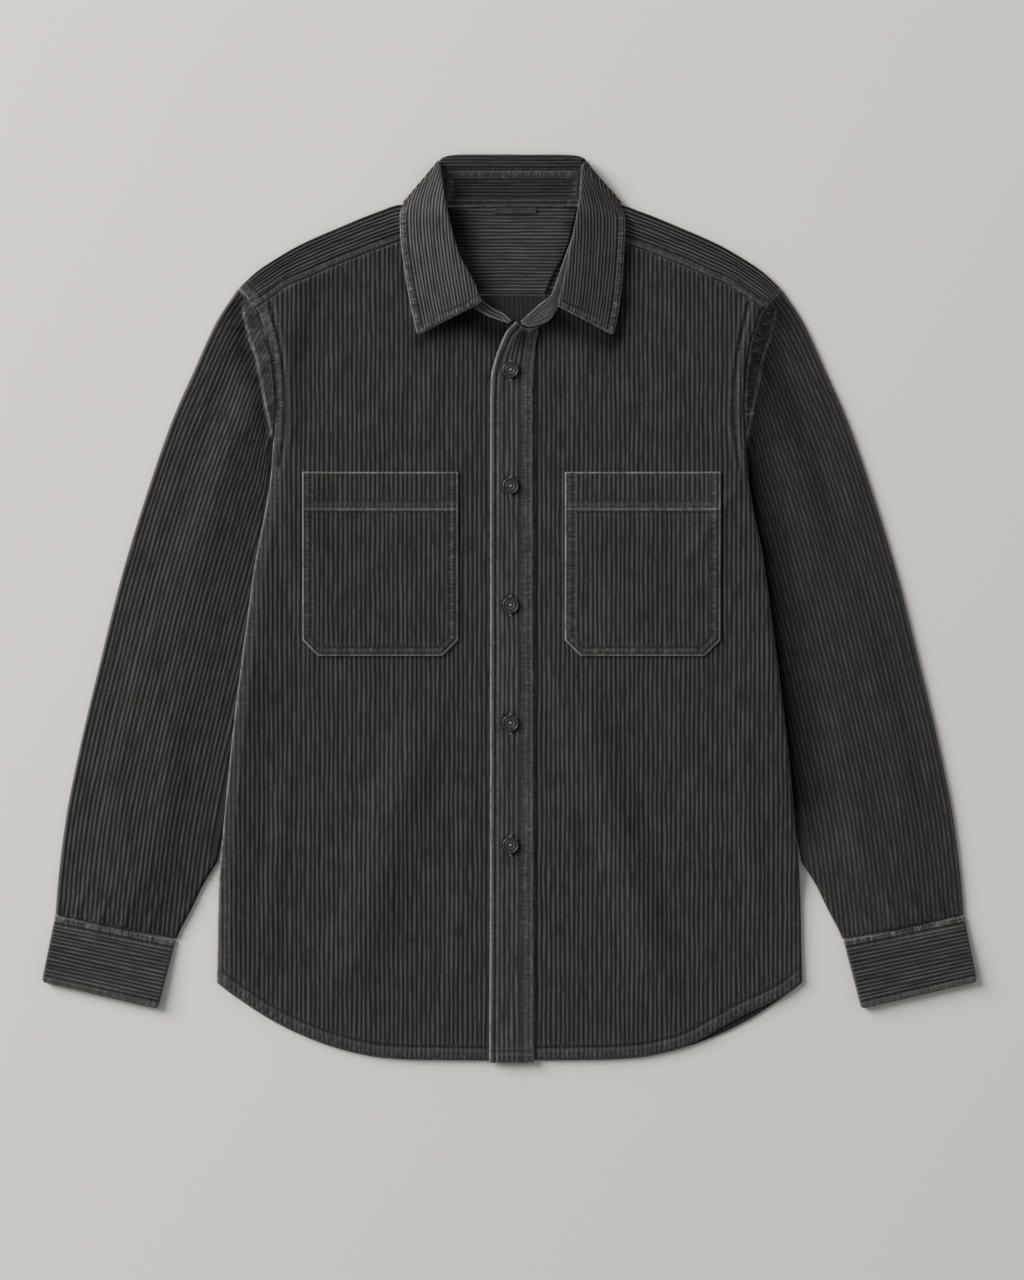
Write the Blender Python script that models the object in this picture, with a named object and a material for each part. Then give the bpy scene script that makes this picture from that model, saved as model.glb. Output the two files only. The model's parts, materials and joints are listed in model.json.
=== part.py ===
"""Corduroy overshirt laid flat on its back: +X to the wearer's left, +Y to the collar, +Z up.

Sizes are in millimetres and become metres when a mesh is made. The origin lies on the surface,
under the middle of the garment.
"""

import math

import bmesh
import bpy

MM = 0.001
COLLECTION = "overshirt"

# Cloth
WALL = 1.4
BACK_WALL = 1.8
GAP = 0.3
WALE_PITCH = 4.1
WALE_HEIGHT = 0.75
HALF_WALE = WALE_PITCH / 2

# Heights of the underside of each layer
FRONT_Z = BACK_WALL + GAP
ON_FRONT_Z = FRONT_Z + WALL + WALE_HEIGHT + GAP
FACING_WALL = 1.0

# The body's side edges ride up over the tucked sleeves
LIFT = 4.7
LIFT_FLAT = 10.0
LIFT_RAMP = 12.0
LIFT_ALONG = (
    # y where it begins, y where it is full
    (162.0, 124.0), (-262.0, -226.0),
)
SLEEVE_TUCK = 6.0
FRONT_HEM_GAP = 0.6

# The body's half outline from hem corner to shoulder tip
BODY_SIDE = (
    # y, half_width
    (-331.8, 259.5), (-302.0, 258.8), (-262.0, 258.0), (-226.0, 256.2), (-187.4, 252.8),
    (-116.5, 245.8), (-60.0, 239.0), (0.0, 231.0), (43.0, 225.0), (94.4, 214.8), (122.0, 211.0),
    (150.0, 209.3), (180.0, 208.0), (209.0, 209.7), (234.5, 213.3), (258.0, 220.9), (267.0, 225.4),
    (274.6, 232.0), (283.5, 240.4),
)
UNDERARM_Y = 124.6
SHOULDER_TIP_Y = BODY_SIDE[-1][0]
HEM = (
    # half_width, y
    (0.0, -401.0), (80.0, -400.2), (113.0, -398.3), (138.0, -393.8), (163.0, -386.7),
    (187.5, -377.0), (212.0, -364.6), (237.0, -348.6), (250.6, -339.0), (259.5, -331.8),
)
LEFT_HEM_RISE = 6.0
LEFT_HEM_RISE_AT = (150.0, 205.0, 250.0)
SHOULDER = (
    # half_width, y
    (75.0, 357.3), (96.0, 358.2), (115.0, 352.5), (150.0, 338.5), (186.0, 322.5),
    (203.0, 312.8), (221.0, 301.2), (230.0, 293.7), (240.4, 283.5), (250.0, 273.0),
)
YOKE_FRONT_SEAM = (
    # half_width, y
    (70.0, 337.5), (97.0, 326.5), (124.0, 316.5), (159.0, 302.6), (177.0, 294.5),
    (194.5, 287.3), (203.3, 282.0), (212.0, 275.3), (225.0, 267.0), (240.0, 257.0),
)
NECKLINE = (
    # half_width, y on the right front, y on the left front
    (-16.0, 254.0, 252.0), (0.0, 256.0, 252.0), (7.5, 258.7, 252.0), (16.4, 261.6, 252.4),
    (20.8, 263.5, 253.4), (28.8, 271.0, 256.0), (35.0, 276.0, 260.0), (45.0, 285.0, 273.0),
    (60.0, 304.0, 300.0), (70.0, 320.0, 319.0), (76.0, 333.6, 333.6),
)
BACK_YOKE_SEAM_Y = 278.7
BACK_YOKE_SEAM_DROP = 14.0
BACK_YOKE_SEAM_RUN = 150.0
NECK_HALF_WIDTH = 76.5
FOLD_INSET = 2.0
FOLD_ROUND = 0.7
YOKE_STATIONS = 11
YOKE_HALF_WALES = 15

# The yoke's facing, as far as the neck shows it
FACING = (
    # y, half width
    (279.5, 29.0), (297.0, 37.0), (310.0, 44.0), (323.0, 50.0), (340.0, 54.5), (354.6, 58.0),
)
FACING_MIDDLE = 2.2

# Levels of the crosswise lines on the body, and the shares of the way above them to the top
LOW_LEVELS = (-262.0, -226.0, -120.0, 0.0, 95.0, 122.0, 150.0, 180.0)
PLAIN_LEVELS = (-262.0, -200.0, -120.0, -50.0, 180.0)
TOP_SHARES = (0.3, 0.56, 0.8)

# Half-wale counts from the middle: where the slanted sides begin, where they end, first of each front
SIDE_ZONE = 92
LAST_WALE = 128
RIGHT_FIRST = -7
LEFT_FIRST = 8

# Soft folds that run down the fronts
FRONT_FOLDS = (
    # side, x from, y from, x to, y to, half_width, height
    (-1, -80.0, -100.0, -140.0, -330.0, 30.0, 2.4),
    (1, 66.0, -100.0, 132.0, -320.0, 32.0, 2.6),
)

# Sleeve rings from the armhole to the cuff seam
SLEEVE_RINGS = (
    # outer_x, outer_y, inner_y, share of the armhole's bow
    (241.0, 283.5, 124.6, 1.0), (259.4, 255.6, 117.0, 0.72), (280.0, 211.0, 101.0, 0.42),
    (299.3, 167.0, 76.0, 0.2), (323.8, 96.1, 30.0, 0.06), (345.1, 25.3, -28.0, 0.0),
    (362.8, -45.6, -84.0, 0.0), (379.7, -116.5, -140.0, 0.0), (393.8, -187.4, -196.0, 0.0),
    (400.4, -240.6, -252.0, 0.0), (402.9, -271.5, -293.0, 0.0),
)
SLEEVE_INNER_EDGE = (
    # y, half_width below the body's side
    (-294.0, 295.8), (-284.0, 291.6), (-267.1, 282.5), (-245.9, 272.4), (-224.6, 259.2), (124.6, 211.4),
)
SLEEVE_FREE_Y = -224.6
SLEEVE_GAP = 0.4
ARMHOLE_GAP = 0.6
SLEEVE_HIDDEN = 8.0
SLEEVE_CROWN = 3.0
SLEEVE_FOLD = 2.2
SLEEVE_STATIONS = (0.02, 0.2, 0.4, 0.6, 0.8, 0.975)
SLEEVE_UNDER = (1.0, 0.66, 0.33, 0.0)
WALE_LEAN_TOP = (45.0, 27.0)
WALE_LEAN_CUFF = (8.0, 14.0)

# Cuff corners: seam side and free side
CUFF_SEAM = ((403.1, -272.2), (296.2, -294.3))
CUFF_EDGE = ((414.6, -330.9), (311.9, -354.9))
CUFF_WALL = 1.5
CUFF_FOLD = 1.8

# Patch pockets
POCKET_CENTRES = (-114.4, 117.9)
POCKET_WIDTH = 137.6
POCKET_TOP = 120.9
POCKET_BOTTOM = -42.1
POCKET_CHAMFER = 14.0
POCKET_BAND_Y = 88.0

# Placket edges from hem to neck
PLACKET = (
    # y, left edge x, right edge x
    (-402.5, -18.0, 21.7), (-250.0, -17.3, 21.3), (-100.0, -17.2, 21.2), (50.0, -17.2, 21.0),
    (185.0, -17.0, 20.8), (209.5, -16.0, 21.3), (226.0, -11.3, 22.4), (238.5, -6.6, 23.8),
    (247.6, -1.5, 25.8),
)
PLACKET_HALF_WALES = 19
PLACKET_TOP = ((5.5, 254.3), (9.5, 251.6), (12.0, 248.9), (17.3, 247.9), (25.8, 249.5))

# Buttons
BUTTON_X = 0.9
BUTTON_YS = (211.3, 108.5, 3.1, -101.4, -209.5)
BUTTON_DIAMETER = 15.0
BUTTON_PROFILE = (
    # share of radius, height
    (0.0, 0.0), (0.8, 0.0), (1.0, 0.9), (1.0, 1.7), (0.9, 2.4), (0.78, 2.4), (0.66, 1.5), (0.0, 1.5),
)
BUTTON_SIDES = 20

# Collar leaves: roll line and outer edge, from each point to the shoulder
LEAF_RIGHT = (
    # roll_x, roll_y, outer_x, outer_y, underside height at roll
    (-24.0, 270.5, -78.8, 242.8, 6.9), (-24.2, 271.1, -81.2, 242.7, 6.9), (-24.7, 272.4, -82.2, 244.3, 7.0),
    (-28.6, 283.0, -86.6, 263.0, 7.6), (-36.0, 298.0, -90.4, 283.0, 8.2),
    (-44.0, 313.0, -93.6, 304.0, 8.7), (-50.4, 334.0, -96.2, 325.0, 9.0), (-54.6, 352.0, -97.0, 339.8, 9.0),
    (-58.0, 371.0, -97.2, 348.0, 9.0), (-60.5, 391.0, -96.0, 354.6, 8.6),
)
LEAF_LEFT = (
    # roll_x, roll_y, outer_x, outer_y, underside height at roll
    (42.5, 266.7, 89.4, 242.8, 7.4), (42.6, 267.4, 91.7, 242.8, 7.4), (42.9, 268.8, 92.7, 244.4, 7.4),
    (45.5, 282.0, 96.6, 263.0, 7.9), (49.2, 298.0, 99.2, 284.0, 8.5),
    (52.2, 315.0, 100.8, 304.0, 8.8), (56.4, 334.0, 102.0, 325.0, 9.0), (60.0, 353.0, 102.4, 340.0, 9.0),
    (62.6, 372.0, 101.8, 348.5, 9.0), (63.4, 391.0, 99.0, 355.0, 8.6),
)
COLLAR_WALL = 1.8
COLLAR_WALES = 12
COLLAR_TOP_Y = 402.7
COLLAR_SEAM_Y = 390.6
COLLAR_HEM_Y = 360.2
COLLAR_BACK_XS = (-57.0, -38.0, -16.0, 4.0, 24.0, 45.0, 59.5)
COLLAR_BACK_HALF = 60.0
COLLAR_SPREAD = 1.5
LEAF_GAP = 0.1

# Plan points where the fall turns under at each shoulder, and its heights above and below the turn
COLLAR_TURN = {
    # seam, roll, leaf, hem
    -1: ((-59.6, 391.3), (-61.6, 395.6), (-64.0, 395.8), (-94.2, 361.6)),
    1: ((62.4, 391.3), (63.0, 395.6), (66.0, 395.4), (97.6, 362.0)),
}
TURN_ABOVE = ((7.0, 9.6, 8.0, 4.6), (5.8, 7.0, 3.6))
TURN_BELOW = ((5.6, 7.4, 3.4, 1.8), (4.0, 4.0, 2.4))
TURN_INWARD = (0.77, 0.64)

# Collar stand: lower edge, upper edge and underside heights, from front end to the side fold
STAND_RIGHT = (
    # lower_x, lower_y, upper_x, upper_y, lower_z, upper_z
    (-0.6, 252.6, 2.2, 254.9, 4.8, 4.8), (-9.0, 255.3, -5.5, 261.6, 4.8, 4.8),
    (-19.0, 258.9, -15.6, 266.8, 4.8, 4.9), (-33.0, 267.5, -25.4, 275.0, 4.8, 5.1),
    (-50.0, 282.0, -36.4, 296.5, 4.8, 5.9), (-64.0, 304.0, -46.4, 316.0, 4.8, 6.6),
    (-74.0, 326.0, -52.6, 337.0, 4.8, 6.9), (-76.0, 345.0, -57.4, 358.0, 4.8, 6.9),
    (-70.0, 356.0, -60.2, 378.0, 4.8, 6.7),
)
STAND_LEFT = (
    # lower_x, lower_y, upper_x, upper_y, lower_z, upper_z
    (11.0, 252.2, 10.2, 254.4, 4.9, 4.9), (17.3, 249.3, 17.6, 261.6, 4.8, 4.9),
    (26.1, 250.9, 27.9, 270.6, 4.8, 5.0), (35.0, 255.0, 36.0, 277.0, 4.8, 5.2),
    (44.0, 268.0, 42.2, 292.0, 4.8, 5.9), (60.0, 298.0, 51.0, 317.0, 4.8, 6.6),
    (74.0, 324.0, 57.6, 337.0, 4.8, 6.9), (77.0, 345.0, 62.0, 358.0, 4.8, 6.9),
    (71.5, 356.0, 63.6, 378.0, 4.8, 6.7),
)
STAND_WALL = 1.3
STAND_WALES = 8
STAND_BACK = ((-60.0, -36.0, -12.0, 15.0, 39.0, 62.0), 355.9, 389.9)
STAND_RISE = 1.0
STAND_RELIEF = 0.7
STAND_SIDE = {
    # seam point, top point
    -1: ((-72.0, 357.4), (-62.0, 387.0)),
    1: ((73.5, 357.4), (64.6, 387.0)),
}
STAND_SIDE_Z = 3.9

LOOP = ((-13.7, 23.5), (350.0, 355.0))
LOOP_WALL = 0.9
LOOP_BOW = 0.3

# Surface colour, roughness and metallic of each finish
FINISHES = {
    "charcoal_corduroy": ((0.032, 0.032, 0.030), 0.95, 0.0),
    "dark_button": ((0.018, 0.018, 0.017), 0.45, 0.0),
}


def look_up(table, key, column=1):
    """Straight-line value of a table's column at a key of its first column, held at its ends."""
    rows = sorted(table)
    if key <= rows[0][0]:
        return rows[0][column]
    for low, high in zip(rows, rows[1:]):
        if key <= high[0]:
            share = (key - low[0]) / (high[0] - low[0])
            return low[column] + share * (high[column] - low[column])
    return rows[-1][column]


def blend(a, b, share):
    """Point or number part of the way from a to b."""
    if isinstance(a, (int, float)):
        return a + (b - a) * share
    return tuple(p + (q - p) * share for p, q in zip(a, b))


def smooth(value):
    """Smooth step from 0 to 1."""
    t = min(1.0, max(0.0, value))
    return t * t * (3 - 2 * t)


def relief(index):
    """Height of a wale at a half-wale index: odd ones are crests."""
    return WALE_HEIGHT if index % 2 else 0.0


def spread(count, first=0.0, last=1.0):
    """Evenly spaced numbers, both ends included."""
    return [first + (last - first) * i / (count - 1) for i in range(count)]


class ClothMesh:
    """Faces of one closed wall, sharing every corner that is met twice."""

    def __init__(self):
        self.mesh = bmesh.new()
        self.corners = {}
        self.known = set()

    def corner(self, point):
        key = tuple(round(value, 3) for value in point)
        if key not in self.corners:
            self.corners[key] = self.mesh.verts.new([value * MM for value in point])
        return self.corners[key]

    def triangle(self, *points):
        verts = [self.corner(point) for point in points]
        key = frozenset(verts)
        if len(key) == 3 and key not in self.known:
            self.known.add(key)
            self.mesh.faces.new(verts)

    def strip(self, a, b):
        """Joins two lines of points, in pairs where they match and by length where they don't."""
        if len(a) == len(b):
            for i in range(len(a) - 1):
                self.triangle(a[i], b[i], b[i + 1])
                self.triangle(a[i], b[i + 1], a[i + 1])
            return
        at_a, at_b = lengths(a), lengths(b)
        i = j = 0
        while i < len(a) - 1 or j < len(b) - 1:
            if j == len(b) - 1 or (i < len(a) - 1 and at_a[i + 1] <= at_b[j + 1] + 1e-6):
                self.triangle(a[i], b[j], a[i + 1])
                i += 1
            else:
                self.triangle(a[i], b[j], b[j + 1])
                j += 1

    def sheet(self, lines):
        for a, b in zip(lines, lines[1:]):
            self.strip(a, b)


def lengths(line):
    """Share of a line's plan length at each of its points."""
    total = [0.0]
    for p, q in zip(line, line[1:]):
        total.append(total[-1] + math.dist(p[:2], q[:2]) + 0.02 * abs(p[2] - q[2]))
    return [value / total[-1] for value in total]


def finish_material(name):
    if name in bpy.data.materials:
        return bpy.data.materials[name]
    colour, roughness, metallic = FINISHES[name]
    material = bpy.data.materials.new(name)
    material.use_nodes = True
    shader = material.node_tree.nodes["Principled BSDF"]
    shader.inputs["Base Color"].default_value = (*colour, 1.0)
    shader.inputs["Roughness"].default_value = roughness
    shader.inputs["Metallic"].default_value = metallic
    return material


def add_piece(name, cloth, finish="charcoal_corduroy"):
    """Makes one named object from a finished wall, its faces turned outward."""
    bmesh.ops.recalc_face_normals(cloth.mesh, faces=cloth.mesh.faces)
    if cloth.mesh.calc_volume(signed=True) < 0:
        bmesh.ops.reverse_faces(cloth.mesh, faces=cloth.mesh.faces)
    data = bpy.data.meshes.new(name)
    cloth.mesh.to_mesh(data)
    cloth.mesh.free()
    piece = bpy.data.objects.new(name, data)
    piece.data.materials.append(finish_material(finish))
    bpy.data.collections[COLLECTION].objects.link(piece)
    return piece


def panel(name, outer, inner, finish="charcoal_corduroy"):
    """A flat piece: an outer and an inner sheet, closed by a rim all round."""
    cloth = ClothMesh()
    cloth.sheet(outer)
    cloth.sheet(inner)
    cloth.strip([line[0] for line in outer], [line[0] for line in inner])
    cloth.strip([line[-1] for line in outer], [line[-1] for line in inner])
    cloth.strip(outer[0], inner[0])
    cloth.strip(outer[-1], inner[-1])
    return add_piece(name, cloth, finish)


def tube(name, outer, inner, finish="charcoal_corduroy"):
    """An open tube: lines round it in order, the first one met again after the last."""
    cloth = ClothMesh()
    cloth.sheet(outer + outer[:1])
    cloth.sheet(inner + inner[:1])
    for end in (0, -1):
        cloth.strip([line[end] for line in outer + outer[:1]], [line[end] for line in inner + inner[:1]])
    return add_piece(name, cloth, finish)


def lift(u, y):
    """Height that the tucked sleeve gives the body near its side edge."""
    along = min(smooth((y - begin) / (full - begin)) for begin, full in LIFT_ALONG)
    inset = look_up(BODY_SIDE, y) - u
    return LIFT * along * smooth((LIFT_FLAT + LIFT_RAMP - inset) / LIFT_RAMP)


def back_yoke_seam(u):
    """Height up the back of the seam below the yoke: level in the middle, lower at the sides."""
    return BACK_YOKE_SEAM_Y - BACK_YOKE_SEAM_DROP * (max(0.0, u - NECK_HALF_WIDTH) / BACK_YOKE_SEAM_RUN) ** 2


def fold_height(side, x, y):
    """Height of the soft folds on one front."""
    height = 0.0
    for fold_side, x0, y0, x1, y1, half_width, top in FRONT_FOLDS:
        if fold_side != side:
            continue
        along = (y - y0) / (y1 - y0)
        away = abs(x - blend(x0, x1, along)) / half_width
        if -0.2 < along < 1.2 and away < 1:
            height += top * smooth((0.2 + along) / 0.4) * smooth((1.2 - along) / 0.4) * smooth(1 - away)
    return height


def side_crossing(y_at):
    """Half width and y where a crosswise line meets the body's side edge."""
    u = BODY_SIDE[-1][1]
    for _ in range(40):
        u = 0.5 * u + 0.5 * look_up(BODY_SIDE, y_at(u))
    return u, y_at(u)


def body_rows(hem_y, top_y, simple=False):
    """Functions that give a crosswise line's y at a half width, from hem to top."""
    rows = [hem_y]
    rows += [lambda u, level=level: level for level in (PLAIN_LEVELS if simple else LOW_LEVELS)]
    if not simple:
        rows += [lambda u, share=share: blend(LOW_LEVELS[-1], top_y(u), share) for share in TOP_SHARES]
    return rows + [top_y]


def body_line(side, index, rows, plain_rows, z_at):
    """One upright line of a body panel: its points stop at the side edge."""
    in_side_zone = index >= SIDE_ZONE
    line = []
    for row in rows if in_side_zone else plain_rows:
        u, y = index * HALF_WALE, row(index * HALF_WALE)
        if in_side_zone:
            edge_u, edge_y = side_crossing(row)
            if u >= edge_u:
                line.append((side * edge_u, edge_y, z_at(edge_u, edge_y, True)))
                continue
        line.append((side * u, y, z_at(u, y, False)))
    return line


def coarse_indices(first):
    """Half-wale indices of the lines of a plain side."""
    inner = [index for index in range(-4, SIDE_ZONE, 12) if index > first + 2]
    return [first] + inner + list(range(SIDE_ZONE, LAST_WALE, 4)) + [LAST_WALE]


def make_front(name, side, first, hem_rise, neck_column):
    """One front: wales raised on top, plain beneath, lying on the back."""
    def hem_y(u):
        low, mid, high = LEFT_HEM_RISE_AT
        rise = smooth((u - low) / (mid - low)) * smooth((high - u) / (high - mid))
        return look_up(HEM, u) + FRONT_HEM_GAP + hem_rise * rise

    def top_y(u):
        if u < NECKLINE[-1][0]:
            return look_up(NECKLINE, u, neck_column)
        return look_up(YOKE_FRONT_SEAM, u) - GAP

    rows, plain_rows = body_rows(hem_y, top_y), body_rows(hem_y, top_y, True)

    def under(u, y, _):
        return FRONT_Z + lift(u, y) + fold_height(side, side * u, y)

    coarse = coarse_indices(first)
    inner = [body_line(side, index, rows, plain_rows, under) for index in coarse]
    outer = []
    for index in range(first, LAST_WALE + 1):
        low = max(i for i in coarse if i <= index)
        high = min(i for i in coarse if i >= index)
        height = relief(index)

        def over(u, y, at_edge, low=low, high=high, index=index, height=height):
            share = (index - low) / (high - low) if high > low else 0.0
            a, b = (under(min(i * HALF_WALE, look_up(BODY_SIDE, y)), y, False) for i in (low, high))
            base = under(u, y, False) if at_edge else blend(a, b, share)
            return base + WALL + (0.0 if at_edge else height)

        outer.append(body_line(side, index, rows, plain_rows, over))
    return panel(name, outer, inner)


def make_back():
    """The back: plain, flat on the surface, rising over the sleeves at its sides."""
    def top_y(u):
        return back_yoke_seam(u) - GAP

    def hem_y(u):
        return look_up(HEM, u)

    rows, plain_rows = body_rows(hem_y, top_y), body_rows(hem_y, top_y, True)
    cloth = ClothMesh()
    edges = []
    for height in (0.0, BACK_WALL):
        def z_at(u, y, _, height=height):
            return lift(u, y) + height

        halves = [[body_line(side, index, rows, plain_rows, z_at) for index in coarse_indices(0)]
                  for side in (-1, 1)]
        for lines in halves:
            cloth.sheet(lines)
        edges.append(halves)
    for low, high in zip(*edges):
        for end in (0, -1):
            cloth.strip([line[end] for line in low], [line[end] for line in high])
        cloth.strip(low[-1], high[-1])
    return add_piece("back_body", cloth)


def make_yoke():
    """The yoke: one piece under the neck that folds forward over each shoulder."""
    def shoulder_y(u):
        return look_up(SHOULDER, u)

    def seam_y(u):
        return look_up(YOKE_FRONT_SEAM, u) + GAP

    def back_y(u):
        return back_yoke_seam(u) + GAP

    def point(side, across, y_at, z, inset=0.0):
        end_u, _ = side_crossing(lambda u: y_at(u) - inset)
        u = blend(NECK_HALF_WIDTH, end_u, across)
        return (side * u, y_at(u) - inset, z)

    top = FRONT_Z + WALL
    fine = spread(YOKE_HALF_WALES)
    cloth = ClothMesh()
    neck_lines = {}
    for side in (-1, 1):
        outer, inner = [], []
        for across in spread(YOKE_STATIONS):
            low = [point(side, across, back_y, 0.0),
                   point(side, across, lambda u: blend(back_y(u), shoulder_y(u), 0.5), 0.0),
                   point(side, across, shoulder_y, 0.0, FOLD_INSET)]
            fold = [point(side, across, shoulder_y, FOLD_ROUND, FOLD_ROUND),
                    point(side, across, shoulder_y, top / 2),
                    point(side, across, shoulder_y, top - FOLD_ROUND, FOLD_ROUND)]
            front = []
            for i, share in enumerate(fine):
                def y_at(u, share=share):
                    return blend(shoulder_y(u) - FOLD_INSET, seam_y(u), share)
                front.append(point(side, across, y_at, top + relief(i)))
            outer.append(low + fold + front)
            under = [(p[0], p[1], BACK_WALL) for p in low]
            turned = [under[-1], front[len(front) // 2], front[-1]]
            inner.append(under + [(p[0], p[1], FRONT_Z) for p in turned])
        cloth.sheet(outer)
        cloth.sheet(inner)
        cloth.strip([line[0] for line in outer], [line[0] for line in inner])
        cloth.strip([line[-1] for line in outer], [line[-1] for line in inner])
        cloth.strip(outer[-1], inner[-1])
        cloth.strip(outer[0][2:], inner[0][2:])
        neck_lines[side] = (outer[0][:3], inner[0][:3])
    for layer in (0, 1):
        a, b = neck_lines[-1][layer], neck_lines[1][layer]
        middle = [[blend(p, q, share) for p, q in zip(a, b)] for share in spread(5)]
        cloth.sheet(middle)
        neck_lines[layer] = middle
    for end in (0, -1):
        cloth.strip([line[end] for line in neck_lines[0]], [line[end] for line in neck_lines[1]])
    return add_piece("yoke", cloth)


def make_facing():
    """The yoke's facing, built where the neck shows it, its wales level."""
    low_y, high_y = FACING[0][0], FACING[-1][0]
    count = 2 * round((high_y - low_y) / WALE_PITCH) + 1
    base = BACK_WALL + GAP

    def line(y, z):
        half = look_up(FACING, y)
        return [(x + FACING_MIDDLE, y, z) for x in spread(3, -half, half)]

    outer = [line(y, base + FACING_WALL + relief(i)) for i, y in enumerate(spread(count, low_y, high_y))]
    inner = [line(y, base) for y, _ in FACING]
    return panel("yoke_facing", outer, inner)


def make_loop():
    """Flat hanger loop under the back neck seam."""
    base = BACK_WALL + 2 * GAP + FACING_WALL + WALE_HEIGHT
    (x0, x1), (y0, y1) = LOOP

    def lines(z):
        return [[(x, y, z + LOOP_BOW * math.sin(math.pi * share)) for y in (y0, y1)]
                for share, x in zip(spread(5), spread(5, x0, x1))]

    return panel("hanger_loop", lines(base + LOOP_WALL), lines(base))


def armhole_points(count):
    """Points down the armhole curve, shoulder tip to underarm."""
    return [(look_up(BODY_SIDE, y) + ARMHOLE_GAP, y) for y in spread(count, SHOULDER_TIP_Y, UNDERARM_Y)]


def sleeve_inner(y):
    """Half width of the sleeve's inner fold, tucked under the body's side."""
    share = (y - SLEEVE_FREE_Y) / (UNDERARM_Y - SLEEVE_FREE_Y)
    tuck = SLEEVE_TUCK * math.sin(math.pi * min(1.0, max(0.0, share)))
    return look_up(SLEEVE_INNER_EDGE, y) - tuck


def ring_path(row, samples=41):
    """Plan points across the sleeve at one ring, outer fold to inner fold."""
    outer_u, outer_y, inner_y, bow = row
    start, end = (outer_u, outer_y), (sleeve_inner(inner_y), inner_y)
    curve = armhole_points(samples)
    path = []
    for share, (u, y) in zip(spread(samples), curve):
        chord = blend(curve[0], curve[-1], share)
        plain = blend(start, end, share)
        path.append((plain[0] + bow * (u - chord[0]), plain[1] + bow * (y - chord[1])))
    return path


def crosswise(path, along):
    """Distance across the wales at each point of a ring's path."""
    top, cuff = WALE_LEAN_TOP, WALE_LEAN_CUFF
    lean_outer = blend(top[0], cuff[0], min(1.0, along * 1.8) ** 0.6)
    lean_inner = blend(top[1], cuff[1], along)
    distance = [0.0]
    for i, (p, q) in enumerate(zip(path, path[1:])):
        lean = math.radians(blend(lean_outer, lean_inner, i / (len(path) - 1)))
        wale = (math.sin(lean), -math.cos(lean))
        step = (q[0] - p[0], q[1] - p[1])
        distance.append(distance[-1] + abs(step[0] * wale[1] - step[1] * wale[0]))
    return distance


def along_path(path, share):
    """Point of a path at a share of its samples."""
    at = share * (len(path) - 1)
    i = min(len(path) - 2, int(at))
    return blend(path[i], path[i + 1], at - i)


def make_sleeve(name, side):
    """A sleeve: a flattened open tube, wales down its top side, flat beneath."""
    count = len(SLEEVE_RINGS)
    rings = []
    for i, row in enumerate(SLEEVE_RINGS):
        path = ring_path(row)
        rings.append((path, crosswise(path, i / (count - 1))))
    most = int(max(distance[-1] for _, distance in rings) / HALF_WALE)
    low_top = WALL + SLEEVE_GAP + WALL

    def crown(share):
        return SLEEVE_CROWN * math.sin(math.pi * share) ** 2

    def inset_share(path):
        return SLEEVE_FOLD / math.dist(path[0], path[-1])

    def place(path, share, z):
        u, y = along_path(path, share)
        return (side * u, y, z)

    def top_line(index):
        line = []
        for path, distance in rings:
            edge = inset_share(path)
            share = look_up(tuple(zip(distance, spread(len(path)))), index * HALF_WALE)
            hidden = edge * SLEEVE_HIDDEN / SLEEVE_FOLD
            raised = relief(index) if edge < share < 1 - hidden else 0.0
            share = min(1 - edge, max(edge, share))
            line.append(place(path, share, low_top + crown(share) + raised))
        return line

    def plain_line(share, z, inset=0.0):
        line = []
        for path, _ in rings:
            edge = inset_share(path) * inset
            at = min(1 - edge, max(edge, share))
            line.append(place(path, at, z(at) if callable(z) else z))
        return line

    outer = [plain_line(0.0, low_top / 2), plain_line(0.0, low_top, 1.0)]
    outer += [top_line(index) for index in range(1, most)]
    outer += [plain_line(1.0, low_top, 1.0), plain_line(1.0, low_top / 2)]
    outer += [plain_line(share, 0.0, 1.0) for share in SLEEVE_UNDER]
    under_top = WALL + SLEEVE_GAP
    inner = [plain_line(share, lambda at: under_top + crown(at), 1.0) for share in SLEEVE_STATIONS]
    under = [min(SLEEVE_STATIONS[-1], max(SLEEVE_STATIONS[0], share)) for share in SLEEVE_UNDER]
    inner += [plain_line(share, WALL, 1.0) for share in under]
    return tube(name, outer, inner)


def make_cuff(name, side):
    """A cuff: a flattened open tube with its wales round the wrist."""
    top = 2 * CUFF_WALL + SLEEVE_GAP
    depth = math.dist(CUFF_SEAM[0], CUFF_EDGE[0])
    fine = spread(2 * round(depth / WALE_PITCH) + 1)
    inset = CUFF_FOLD / math.dist(*CUFF_SEAM)

    def line(share, z, shares, raised=False):
        points = []
        for i, down in enumerate(shares):
            left, right = (blend(CUFF_SEAM[i], CUFF_EDGE[i], down) for i in (0, 1))
            x, y = blend(left, right, share)
            points.append((side * x, y, z + (relief(i) if raised else 0.0)))
        return points

    plain = (0.0, 1.0)
    bulge = [(share, top, share not in (inset, 1 - inset)) for share in spread(5, inset, 1 - inset)]
    outer = [line(0.0, top / 2, plain)]
    outer += [line(share, z, fine, raised) for share, z, raised in bulge]
    outer += [line(1.0, top / 2, plain)] + [line(share, 0.0, plain) for share in (1 - inset, inset)]
    inner = [line(share, CUFF_WALL + SLEEVE_GAP, plain) for share in (inset, 1 - inset)]
    inner += [line(share, CUFF_WALL, plain) for share in (1 - inset, inset)]
    return tube(name, outer, inner)


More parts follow.
